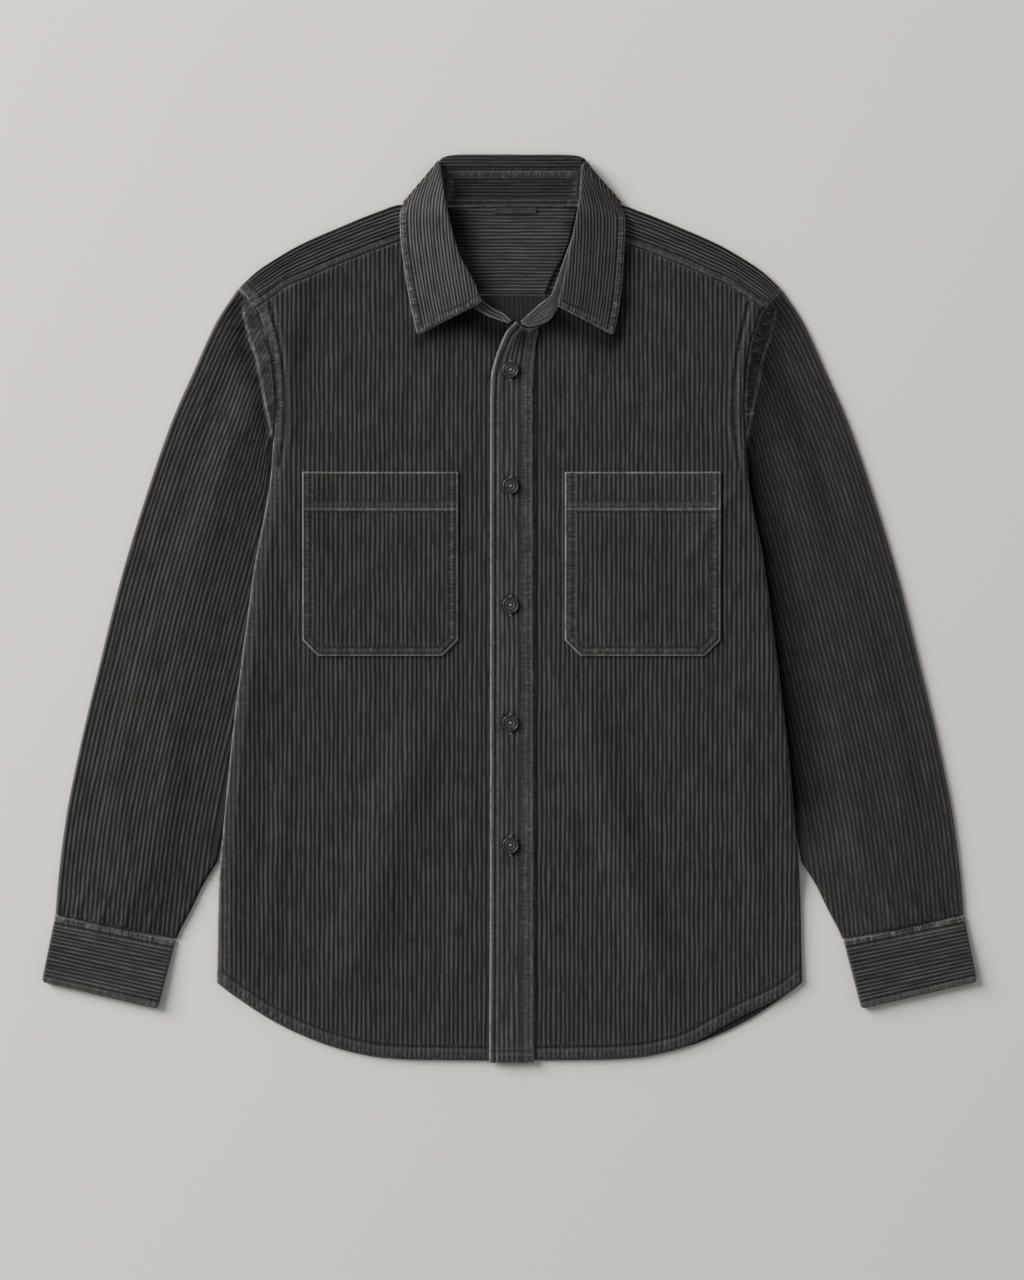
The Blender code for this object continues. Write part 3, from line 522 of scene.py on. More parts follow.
class ClothMesh:
    """Collects the faces of one cloth piece, with its pile values at every point."""

    PILE, PLAIN = 0, 1
    VALUES = ("wale", "run", "highlight_and_wear", "tone", "keep", "crumple", "seam")

    def __init__(self, name: str, piece_tone: float = 1.0) -> None:
        """Starts an empty piece, its pile's tone scaled by one number for the whole piece."""
        self.name = name
        self.piece_tone = piece_tone
        self.points: list[Array] = []
        self.values: list[Array] = []
        self.faces: list[Array] = []
        self.finish: list[Array] = []
        self.count = 0

    def points_of(self, s: Surface) -> Array:
        """Adds a surface's points and returns their numbers in its rows and columns."""
        self.points.append(np.stack([s.x, s.y, s.z], axis=-1).reshape(-1, 3))
        s.tone = s.tone * self.piece_tone
        values = [getattr(s, name) for name in self.VALUES]
        self.values.append(np.stack(values, axis=-1).reshape(-1, len(values)))
        numbers = np.arange(self.count, self.count + s.x.size).reshape(s.x.shape)
        self.count += s.x.size
        return numbers

    def grid(self, numbers: Array, finish: int = PILE) -> None:
        """Fills the cells between rows and columns of points."""
        a, b, c, d = numbers[:-1, :-1], numbers[:-1, 1:], numbers[1:, 1:], numbers[1:, :-1]
        cells = np.stack([a, b, c, d], axis=-1)
        self.faces.append(cells.reshape(-1, 4))
        self.finish.append(np.full(cells.shape[0] * cells.shape[1], finish))

    def bridge(self, a: Array, b: Array, finish: int = PLAIN) -> None:
        """Joins two lines of points, by their share of plan length where counts differ."""
        if len(a) == len(b):
            self.grid(np.stack([a, b]), finish)
            return
        points = np.vstack(self.points)
        at_a, at_b = (shares(points[line]) for line in (a, b))
        made, i, j = [], 0, 0
        while i < len(a) - 1 or j < len(b) - 1:
            if j == len(b) - 1 or (i < len(a) - 1 and at_a[i + 1] <= at_b[j + 1] + 1e-9):
                made.append((a[i], b[j], a[i + 1], a[i + 1]))
                i += 1
            else:
                made.append((a[i], b[j], b[j + 1], b[j + 1]))
                j += 1
        self.faces.append(np.array(made))
        self.finish.append(np.full(len(made), finish))

    def shell(self, top: Surface, bottom: Surface) -> None:
        """A closed wall: two surfaces joined all round."""
        upper, lower = self.points_of(top), self.points_of(bottom)
        self.grid(upper)
        self.grid(lower, self.PLAIN)
        for side in (0, -1):
            self.bridge(upper[:, side], lower[:, side])
            self.bridge(upper[side], lower[side])

    def tube(self, outer: Surface, inner: Surface, pile_columns: int) -> None:
        """An open tube whose rows are closed loops, ribbed on its first columns."""
        outside, inside = self.points_of(outer), self.points_of(inner)
        outside, inside = (np.hstack([n, n[:, :1]]) for n in (outside, inside))
        self.grid(outside[:, :pile_columns])
        self.grid(outside[:, pile_columns - 1:], self.PLAIN)
        self.grid(inside, self.PLAIN)
        for end in (0, -1):
            self.bridge(outside[end], inside[end])

    def build(self, materials: Sequence[bpy.types.Material]) -> bpy.types.Object:
        """Welds the points and makes the object.

        Args:
            materials: One for ribbed faces and one for plain ones.

        Returns:
            The piece, in the scene.
        """
        points, values = np.vstack(self.points), np.vstack(self.values)
        _, first, inverse = np.unique(
            np.round(points, 3), axis=0, return_index=True, return_inverse=True)
        faces = inverse.reshape(-1)[np.vstack(self.faces)]
        finish = np.concatenate(self.finish)
        kept, kinds, seen = [], [], set()
        for face, kind in zip(faces.tolist(), finish.tolist()):
            corners = list(dict.fromkeys(face))
            key = frozenset(corners)
            if len(corners) > 2 and key not in seen:
                seen.add(key)
                kept.append(corners)
                kinds.append(kind)
        data = bpy.data.meshes.new(self.name)
        data.from_pydata((points[first] * MM).tolist(), [], kept)
        data.polygons.foreach_set("material_index", kinds)
        data.polygons.foreach_set("use_smooth", [True] * len(kept))
        for column, name in enumerate(self.VALUES):
            attribute = data.attributes.new(name, "FLOAT", "POINT")
            attribute.data.foreach_set("value", values[first, column].astype(np.float32))
        mesh = bmesh.new()
        mesh.from_mesh(data)
        bmesh.ops.recalc_face_normals(mesh, faces=mesh.faces)
        if mesh.calc_volume(signed=True) < 0:
            bmesh.ops.reverse_faces(mesh, faces=mesh.faces)
        mesh.to_mesh(data)
        mesh.free()
        for material in materials:
            data.materials.append(material)
        return placed(self.name, data)


def placed(name: str, data: bpy.types.ID, location: Sequence[float] = (0.0, 0.0, 0.0),
           rotation: Sequence[float] = (0.0, 0.0, 0.0)) -> bpy.types.Object:
    """A new object of a mesh, lamp or camera, linked to the scene."""
    item = bpy.data.objects.new(name, data)
    item.location, item.rotation_euler = location, rotation
    bpy.context.scene.collection.objects.link(item)
    return item


def finished(mesh: bmesh.types.BMesh, name: str) -> bpy.types.Mesh:
    """Smooth mesh data of a working mesh, which is freed."""
    data = bpy.data.meshes.new(name)
    mesh.to_mesh(data)
    mesh.free()
    data.polygons.foreach_set("use_smooth", [True] * len(data.polygons))
    return data


def run_along(points: Array) -> Array:
    """Length of a line up to each of its points."""
    return np.concatenate([[0.0], np.cumsum(np.linalg.norm(np.diff(points, axis=0), axis=1))])


def shares(points: Array) -> Array:
    """Share of a line's length at each of its points."""
    run = run_along(points)
    return run / max(run[-1], 1e-9)


def resampled(path: Table, pitch: float) -> Array:
    """Points about a pitch apart along a line in plan."""
    points = np.array(path, float)
    run = run_along(points)
    at = np.linspace(0, run[-1], max(2, round(run[-1] / pitch) + 1))
    return np.stack([np.interp(at, run, points[:, 0]), np.interp(at, run, points[:, 1])], axis=1)


# Finishes


def linear(colour: str) -> tuple[float, float, float, float]:
    """Linear colour of an sRGB hex value such as "#404040"."""
    parts = [int(colour[i:i + 2], 16) / 255 for i in (1, 3, 5)]
    return (*[c / 12.92 if c <= 0.04045 else ((c + 0.055) / 1.055) ** 2.4 for c in parts], 1.0)


class Finish:
    """A material in the making: its principled shader and small functions that feed it."""

    def __init__(self, name: str) -> None:
        """Starts with the shader, its output and the place on the object."""
        self.material = bpy.data.materials.new(name)
        self.material.use_nodes = True
        self.tree = self.material.node_tree
        self.shader = self.tree.nodes["Principled BSDF"]
        self.place = self.add("ShaderNodeTexCoord").outputs["Object"]

    def feed(self, socket: bpy.types.NodeSocket, value: object) -> None:
        """Links an output to an input, or sets the input's own value."""
        if isinstance(value, bpy.types.NodeSocket):
            self.tree.links.new(value, socket)
        else:
            socket.default_value = value

    def add(self, kind: str, settings: dict | None = None, **inputs: object) -> bpy.types.Node:
        """Adds a node with its settings and links.

        Args:
            kind: Blender's name of the node's type.
            settings: Properties to set on it.
            inputs: Values or other nodes' outputs, by the input's name.

        Returns:
            The new node.
        """
        node = self.tree.nodes.new(kind)
        for key, value in (settings or {}).items():
            setattr(node, key, value)
        for key, value in inputs.items():
            self.feed(node.inputs[key], value)
        return node

    def maths(self, operation: str, *numbers: object) -> bpy.types.NodeSocket:
        """Output of a maths node."""
        node = self.add("ShaderNodeMath", {"operation": operation})
        for socket, number in zip(node.inputs, numbers):
            self.feed(socket, number)
        return node.outputs[0]

    def random(self, vector: bpy.types.NodeSocket, scale: float, detail: float) -> bpy.types.NodeSocket:
        """Output of a noise texture."""
        return self.add("ShaderNodeTexNoise", Vector=vector, Scale=scale, Detail=detail).outputs["Fac"]

    def blend(self, share: object, a: object, b: object, kind: str = "MIX") -> bpy.types.NodeSocket:
        """Output of a node that mixes two colours."""
        settings = {"data_type": "RGBA", "blend_type": kind}
        return self.add("ShaderNodeMix", settings, Factor=share, A=a, B=b).outputs["Result"]

    def bump(self, strength: float, depth_mm: float, height: bpy.types.NodeSocket) -> None:
        """Lets a height tilt the light on the surface."""
        node = self.add("ShaderNodeBump", Strength=strength, Distance=depth_mm * MM, Height=height)
        self.feed(self.shader.inputs["Normal"], node.outputs[0])

    def done(self, colour: object, roughness: float) -> bpy.types.Material:
        """Gives the shader its colour and roughness."""
        self.feed(self.shader.inputs["Base Color"], colour)
        self.shader.inputs["Roughness"].default_value = roughness
        return self.material


@dataclass(frozen=True)
class Corduroy:
    """Washed cotton corduroy, woven with cut pile ribs and dyed charcoal.

    The rib crests are painted pale, partly as washing wears them and partly as painted highlight for
    the light they catch; the ground between them is painted nearly black, as painted shade in the grooves,
    and the pile scatters light with no gloss.
    """

    name: str = "washed_cotton_corduroy"
    crest: str = "#525250"
    ground: str = "#0a0a0a"
    # Pale colour of the rubbed places: real wear, and painted highlight on edges that face the light.
    highlight_and_rub_colour: str = "#8b8a85"
    cool: str = "#f1f6fc"
    warm: str = "#fefaee"
    streak_mm: float = 30.0
    blotch_mm: float = 25.0
    cast_mm: float = 70.0
    tuft_mm: float = 0.9
    weft: float = 0.23
    ripple_mm: float = 2.1
    reach_mm: float = 8.0
    pressed: float = 0.42
    roughness: float = 0.95
    gloss: float = 0.08

    def material(self, ribbed_mesh: bool) -> bpy.types.Material:
        """Builds the finish, with the ribs as bump where the mesh has none."""
        finish = Finish(self.name + ("" if ribbed_mesh else "_plain_side"))
        maths, random, place = finish.maths, finish.random, finish.place

        def scaled(value: bpy.types.NodeSocket, by: float, more: float) -> bpy.types.NodeSocket:
            """A value times a number, plus another."""
            return maths("MULTIPLY_ADD", value, by, more)

        wale, run, highlight_and_wear, tone, keep, crumple, seam = (
            finish.add("ShaderNodeAttribute", {"attribute_name": name}).outputs["Fac"]
            for name in ClothMesh.VALUES)
        off_crest = maths("MULTIPLY", maths("ABSOLUTE", maths("SUBTRACT", maths("FRACT", wale), 0.5)), 2.0)
        dome = maths("SUBTRACT", 1.0, maths("POWER", off_crest, 1.4))
        line = maths("POWER", maths("SUBTRACT", 1.0, off_crest), 2.0)
        along = finish.add("ShaderNodeCombineXYZ", X=wale, Y=maths("DIVIDE", run, self.streak_mm))
        streak = random(along.outputs[0], 1.3, 2.0)
        blotch = random(place, 1 / (self.blotch_mm * MM), 3.0)
        tufts = finish.add("ShaderNodeCombineXYZ", X=maths("MULTIPLY", wale, PITCH / self.tuft_mm),
                           Y=maths("DIVIDE", run, self.tuft_mm))
        tuft = random(tufts.outputs[0], 1.0, 1.0)
        # The thin pale line on each crest is a painted highlight, made patchy by streaks of wear.
        lit_and_worn = maths("MAXIMUM", scaled(streak, 5.5, -1.75), 0.1)
        ground = maths("MULTIPLY", maths("POWER", off_crest, 9.0), self.weft)
        crest = maths("MULTIPLY_ADD", maths("MULTIPLY", line, lit_and_worn), 0.5, maths("MULTIPLY", dome, 0.5))
        crest = maths("ADD", crest, ground)
        crest = maths("MULTIPLY_ADD", maths("SUBTRACT", crest, self.pressed), keep, self.pressed)
        across = finish.add("ShaderNodeSeparateXYZ", Vector=place).outputs
        ripples = finish.add("ShaderNodeCombineXYZ", X=maths("DIVIDE", seam, self.ripple_mm),
                             Y=maths("DIVIDE", across[0], self.reach_mm * MM),
                             Z=maths("DIVIDE", across[1], self.reach_mm * MM))
        # The pucker swell bumps the ripples and paints their hollows darker as painted shade and their tops
        # paler.
        pucker_swell_and_shade = maths("MULTIPLY", crumple, scaled(random(ripples.outputs[0], 1.0, 1.5), 4.0, -2.0))
        cloth = finish.blend(crest, linear(self.ground), linear(self.crest))
        drift = random(place, 1 / (self.cast_mm * MM), 2.0)
        cast = finish.blend(drift, linear(self.cool), linear(self.warm))
        cloth = finish.blend(1.0, cloth, cast, "MULTIPLY")
        level = maths("MULTIPLY", tone, scaled(blotch, 0.38, 0.81))
        level = maths("MULTIPLY", level, scaled(tuft, 1.2, 0.4))
        level = maths("MULTIPLY", level, maths("MAXIMUM", scaled(pucker_swell_and_shade, 0.9, 1.0), 0.25))
        dyed = finish.add("ShaderNodeHueSaturation", Color=cloth, Value=level).outputs["Color"]
        # Paler where rubbed: real wear, and painted highlight where seams and edges face the light.
        highlight_and_rubbing = maths("MULTIPLY", highlight_and_wear, scaled(tuft, 0.9, 0.55))
        highlight_and_rubbing = maths("ADD", highlight_and_rubbing, maths("MAXIMUM", scaled(pucker_swell_and_shade, 0.3, -0.04), 0.0))
        highlight_and_rubbing = finish.add("ShaderNodeClamp", Value=highlight_and_rubbing).outputs[0]
        height = maths("MULTIPLY_ADD", pucker_swell_and_shade, 2.2, tuft)
        if not ribbed_mesh:
            height = maths("MULTIPLY_ADD", crest, 3.0, height)
        finish.bump(0.5, 0.22, height)
        finish.shader.inputs["Specular IOR Level"].default_value = self.gloss
        return finish.done(finish.blend(highlight_and_rubbing, dyed, linear(self.highlight_and_rub_colour)), self.roughness)


@dataclass(frozen=True)
class ResinButton:
    """Cast polyester resin, turned and tumbled to a soft gloss with faint clouding."""

    name: str = "cast_polyester_resin"
    body: str = "#2c2b2a"
    cloud: str = "#3f3e3b"
    cloud_mm: float = 5.0
    roughness: float = 0.3

    def material(self) -> bpy.types.Material:
        """Builds the finish."""
        finish = Finish(self.name)
        clouds = finish.random(finish.place, 1 / (self.cloud_mm * MM), 2.0)
        return finish.done(finish.blend(clouds, linear(self.body), linear(self.cloud)), self.roughness)


@dataclass(frozen=True)
class SpunThread:
    """Spun polyester sewing thread, dyed to match the cloth; its twist scatters a little light."""

    name: str = "spun_polyester_thread"
    dyed: str = "#343432"
    twist_mm: float = 0.8
    roughness: float = 0.7

    def material(self) -> bpy.types.Material:
        """Builds the finish."""
        finish = Finish(self.name)
        twist = finish.add("ShaderNodeTexWave", {"bands_direction": "DIAGONAL"}, Vector=finish.place,
                           Scale=1 / (self.twist_mm * MM) / 6.3, Distortion=1.0)
        finish.bump(0.4, 0.1, twist.outputs["Fac"])
        return finish.done(linear(self.dyed), self.roughness)


@dataclass(frozen=True)
class TableTop:
    """Matt painted board in a warm pale grey with the faint unevenness of a roller."""

    name: str = "matt_painted_board"
    paint: str = "#d8d5d0"
    grain_mm: float = 3.0
    roughness: float = 0.9

    def material(self) -> bpy.types.Material:
        """Builds the finish."""
        finish = Finish(self.name)
        finish.bump(0.1, 0.05, finish.random(finish.place, 1 / (self.grain_mm * MM), 3.0))
        return finish.done(linear(self.paint), self.roughness)


# Workroom


@dataclass
class Workroom:
    """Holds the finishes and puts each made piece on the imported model."""

    cloth: tuple[bpy.types.Material, bpy.types.Material]
    resin: bpy.types.Material
    thread: bpy.types.Material
    button_thread: bpy.types.Material

    @classmethod
    def opened(cls) -> Workroom:
        """A workroom with every finish made."""
        corduroy = Corduroy()
        return cls((corduroy.material(True), corduroy.material(False)),
                   ResinButton().material(), SpunThread().material(),
                   SpunThread("waxed_button_thread", "#8e8c86").material())

    def lay(self, cloth: ClothMesh, node: str, flat: tuple[float, float], area: float,
            seams: Sequence[Seam] = ()) -> None:
        """Builds a cloth piece, sews it and lays it where its node is.

        Args:
            cloth: The piece's faces.
            node: The node that it stands for.
            flat: Width and length of its cut, in metres.
            area: Flat area of its cut, in square metres; it is clamped but not used.
            seams: Its seams; the threaded ones get thread.
        """
        piece = cloth.build(self.cloth)
        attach(piece, "root")
        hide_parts(node)
        threaded = [seam for seam in seams if seam.threaded]
        parts = [Stitching().sew(piece, threaded, self.thread)] if threaded else []
        width, length = flat
        area = min(max(area, 0.31 * width * length), width * length)
        log.info("%s: %d faces, cut %.0f x %.0f mm", piece.name, len(piece.data.polygons),
                 width / MM, length / MM)


@dataclass
class Stitching:
    """Lockstitch: short grains of thread, each sunk at both ends.

    Attributes:
        pitch: Length of a stitch with its gap, in mm.
        length: Length of thread that shows, in mm.
        radius: Half the thread's thickness, in mm, drawn a little thick so that it shows.
        sink: How deep the ends go, in mm.
    """

    pitch: float = 3.2
    length: float = 2.5
    radius: float = 0.34
    sink: float = 0.3

    def sew(self, piece: bpy.types.Object, seams: Sequence[Seam],
            thread: bpy.types.Material) -> bpy.types.Object:
        """Lays stitches along the seams, on the piece's upper side.

        Args:
            piece: The finished cloth.
            seams: Lines to sew.
            thread: The thread's finish.

        Returns:
            One piece that holds all the stitches.
        """
        tree = BVHTree.FromPolygons([v.co for v in piece.data.vertices],
                                    [p.vertices for p in piece.data.polygons])
        points, faces = [], []
        for seam in seams:
            stops = resampled(seam.path(), self.pitch)
            for a, b in zip(stops, stops[1:]):
                self.stitch(tree, a, b, points, faces)
        data = bpy.data.meshes.new(piece.name + "_stitching")
        data.from_pydata(points, [], faces)
        data.polygons.foreach_set("use_smooth", [True] * len(faces))
        data.materials.append(thread)
        sewn = placed(data.name, data)
        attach(sewn, "root")
        return sewn

    def stitch(self, tree: BVHTree, a: Array, b: Array, points: list, faces: list) -> None:
        """Adds one grain of thread between two plan points."""
        way = (b - a) / max(np.linalg.norm(b - a), 1e-9)
        middle, half = (a + b) / 2, self.length / 2
        spots = [middle - way * half, middle, middle + way * half]
        down = Vector((0, 0, -1))
        hits = [tree.ray_cast(Vector((s[0] * MM, s[1] * MM, 0.05)), down)[0] for s in spots]
        if any(hit is None for hit in hits):
            return
        heights = [hit.z / MM for hit in hits]
        first, side = len(points), np.array([-way[1], way[0]]) * self.radius
        top = max(heights[1], (heights[0] + heights[2]) / 2) + 0.1
        made = [(*spots[0], heights[0] - self.sink)]
        for shift, rise in ((side, 0.0), (0.0, self.radius), (-side, 0.0), (0.0, -self.radius)):
            made.append((*(middle + shift), top + rise))
        made.append((*spots[2], heights[2] - self.sink))
        points += [tuple(c * MM for c in p) for p in made]
        for i in range(4):
            low, high = first + 1 + i, first + 1 + (i + 1) % 4
            faces += [(first, high, low), (first + 5, low, high)]


# Body


@dataclass
class BodyShape:
    """Outline and lie of the body, which its panels and what is sewn on them share."""

    widest: float = 262.0
    neck: float = 76.5
    yoke_seam_y: float = 278.7
    yoke_seam_drop: float = 14.0
    yoke_seam_reach: float = 150.0
    lift_height: float = 5.2
    lift_lip: float = 0.74
    lift_peak: float = 9.0
    lift_end: float = 62.0
    lift_along: Table = ((162.0, 124.0), (-262.0, -226.0))
    hem_gap: float = 0.6
    hem_rise: float = 6.0
    hem_rise_at: tuple[float, float, float] = (150.0, 205.0, 250.0)

    def half_width(self, y: Array) -> Array:
        """Half width of the body at each y."""
        return curve(BODY_SIDE, y)

    def crossing(self, row: RowLine) -> float:
        """Half width where a crosswise line meets the side edge."""
        u = np.linspace(198.0, self.widest, 1281)
        inside = u <= self.half_width(row(u))
        return float(u[-1] if inside.all() else u[np.argmin(inside)])

    def yoke_seam(self, u: Array) -> Array:
        """Line where the back meets the yoke."""
        beyond = np.maximum(0, u - self.neck) / self.yoke_seam_reach
        return self.yoke_seam_y - self.yoke_seam_drop * beyond**2

    def lift(self, u: Array, y: Array) -> Array:
        """Rise that the tucked sleeve gives the side edges."""
        along = np.minimum.reduce([smooth((y - a) / (b - a)) for a, b in self.lift_along])
        inset = self.half_width(y) - u
        outer = mix(self.lift_lip, 1.0, smooth(inset / self.lift_peak))
        return self.lift_height * along * outer * smooth(
            (self.lift_end - inset) / (self.lift_end - self.lift_peak))

    def lie(self, x: Array, y: Array) -> Array:
        """Height of the soft folds and waves of the fronts."""
        height = 0.35 + 0.22 * noise(x / 46, y / 92, 5) + 0.12 * noise(x / 17, y / 31, 6)
        for x0, y0, x1, y1, half, top in FRONT_FOLDS:
            along = (y - y0) / (y1 - y0)
            away = np.abs(x - mix(x0, x1, along)) / half
            ends = smooth((0.2 + along) / 0.4) * smooth((1.2 - along) / 0.4)
            height = height + top * ends * smooth(1 - away)
        return height

    def ground(self, x: Array, y: Array) -> Array:
        """Rise of the fronts above their plain height, under what is sewn on them."""
        return self.lie(x, y) + self.lift(np.abs(x), y)

    def hem(self, u: Array) -> Array:
        """Hem of the back."""
        return curve(HEM, u)

    def front_hem(self, u: Array, side: Side) -> Array:
        """Hem of a front; the left one hangs a little short of the back at its corner."""
        rise = self.hem_rise if side is Side.LEFT else 0.0
        low, middle, high = self.hem_rise_at
        return self.hem(u) + self.hem_gap + rise * smooth((u - low) / (middle - low)) * smooth(
            (high - u) / (high - middle))


@dataclass
class Body:
    """Back and two fronts, joined at the sides, with their curved hem."""

    shape: BodyShape
    first: dict = field(default_factory=lambda: {Side.RIGHT: -14.35, Side.LEFT: 16.4})
    hem_rows: tuple[float, ...] = (0, 0.4, 0.9, 1.6, 2.6, 4, 6, 8, 9.5, 10.3, 11, 11.7, 12.5, 14, 17, 20)
    top_rows: tuple[float, ...] = (16, 12.5, 9.5, 7, 5, 3.5, 2.2, 1.2, 0.5, 0)
    levels: tuple[float, float] = (-226.0, 180.0)
    spacing: float = 4.6
    hem_stitch: float = 11.0
    ends: tuple[float, float] = (-380.0, 310.0)
    # The back's tone is lowered as painted shade, for it lies beneath the fronts and the yoke.
    back_tone_and_shade: float = 0.7
    front_nap: float = 0.97
    back_flat: tuple[float, float] = (0.520, 0.682)
    front_flat: tuple[float, float] = (0.276, 0.738)

    def rows(self, hem: RowLine, top: RowLine) -> list[RowLine]:
        """Crosswise lines from hem to top, close together at both."""
        low, high = self.levels
        inner_low, inner_high = self.hem_rows[-1], self.top_rows[0]
        lines: list[RowLine] = [lambda u, o=o: hem(u) + o for o in self.hem_rows]
        count = round((low - self.ends[0]) / self.spacing)
        lines += [lambda u, t=t: mix(hem(u) + inner_low, low, t) for t in np.arange(1, count) / count]
        count = round((high - low) / self.spacing)
        lines += [lambda u, t=t: np.full_like(u, mix(low, high, t)) for t in np.arange(count + 1) / count]
        count = round((self.ends[1] - high) / self.spacing)
        lines += [lambda u, t=t: mix(high, top(u) - inner_high, t) for t in np.arange(1, count) / count]
        return lines + [lambda u, o=o: top(u) - o for o in self.top_rows]

    def panel(self, side: Side, first: float, rows: Sequence[RowLine], z: float, step: float) -> Surface:
        """Upright ribs between crosswise lines, cut off by the side edge."""
        u = np.arange(first, self.shape.widest, step)
        x, y, wale = (np.empty((len(rows), len(u))) for _ in range(3))
        for i, row in enumerate(rows):
            edge = self.shape.crossing(row)
            free = smooth((edge - u) / 8.0) * smooth((u - first) / 8.0)
            x[i] = np.minimum(u, edge) + 0.28 * free * noise(u / 30, row(u) / 60, 11)
            y[i] = row(x[i])
            wale[i] = np.minimum(u, edge) / PITCH
        base = z + self.shape.lift(x, y)
        return Surface(side.value * x, y, base, wale, y)

    def front(self, room: Workroom, side: Side) -> None:
        """One front, its ribs cut off by the slanted side edge."""
        column = 1 if side is Side.RIGHT else 2

        def hem(u: Array) -> Array:
            """Hem of this front."""
            return self.shape.front_hem(u, side)

        def top(u: Array) -> Array:
            """Neckline and yoke seam of this front."""
            return np.where(u < NECKLINE[-1][0], curve(NECKLINE, u, column), curve(YOKE_FRONT_SEAM, u)) - GAP

        surface = self.panel(side, self.first[side], self.rows(hem, top), FRONT_TOP, STEP)
        waves = self.shape.lie(surface.x, surface.y)
        surface.base += waves
        surface.z += waves
        sign, u = side.value, np.linspace(-20, HEM[-1][0], 90)
        hem_line = list(zip(sign * u, hem(u)))
        side_line = mirrored([(w, y) for y, w in BODY_SIDE], sign)
        v = np.linspace(76, 228, 24)
        yoke_line = list(zip(sign * v, top(v)))
        seams = [
            edge(hem_line, 1.6, 1.1, 0.3, 0.6, 0.8),
            stitched(hem_line, self.hem_stitch * sign, 1.2, 0.35, 0.4, 0.15, 0.4),
            # The right front's side edge faces the light, so it gets more painted highlight than the left's.
            edge(side_line, 1.8, 1.3, 0.15, 0.8 if side is Side.RIGHT else 0.3, 0.9),
            welt(hem_line, 5.5 * sign, 5.0, 0.3, 0.3, 0.4, 0.25),
            stitched(mirrored(ARMHOLE_STITCH, sign), 0.0, 1.6, 0.5, 0.35, 0.3, 0.4, False),
            edge(yoke_line, 1.6, 1.0, 0.5, 0.1, 0.9),
            welt(side_line[11:], -4.6, 4.6, 0.5, 0.6, 0.8, 0.85),
            welt(side_line[:11], -5.0, 6.0, 0.0, 0.2, 0.6, 0.0),
        ]
        surface.sew(*seams).catch_light(1.25, self.shape.lift(np.abs(surface.x), surface.y))
        surface.shade(COLLAR_SHADE, BAND_SHADE, POCKET_SHADE, SIDE_SHADE).raise_wales()
        cloth = ClothMesh(f"{side.name.lower()}_front", self.front_nap)
        cloth.shell(surface, surface.under(24))
        room.lay(cloth, f"front_{side.name.lower()}", self.front_flat, surface.plan_area(),
                 seams[:2])

    def back(self, room: Workroom) -> None:
        """The back, flat on the table and raised at its sides by the sleeves."""
        def top(u: Array) -> Array:
            """Seam below the yoke."""
            return self.shape.yoke_seam(u) - GAP

        rows = self.rows(self.shape.hem, top)[::2]
        left, right = (self.panel(side, 0.0, rows, BACK_WALL, PITCH / 2) for side in (Side.LEFT, Side.RIGHT))
        surface = right.part(columns=slice(None, 0, -1)).beside(left)
        surface.keep *= 0.35
        cloth = ClothMesh("back", self.back_tone_and_shade)
        cloth.shell(surface, surface.under(1, BACK_WALL))
        room.lay(cloth, "back_body", self.back_flat, surface.plan_area())

    def build(self, room: Workroom) -> None:
        """Makes the back and both fronts."""
        self.back(room)
        for side in Side:
            self.front(room, side)


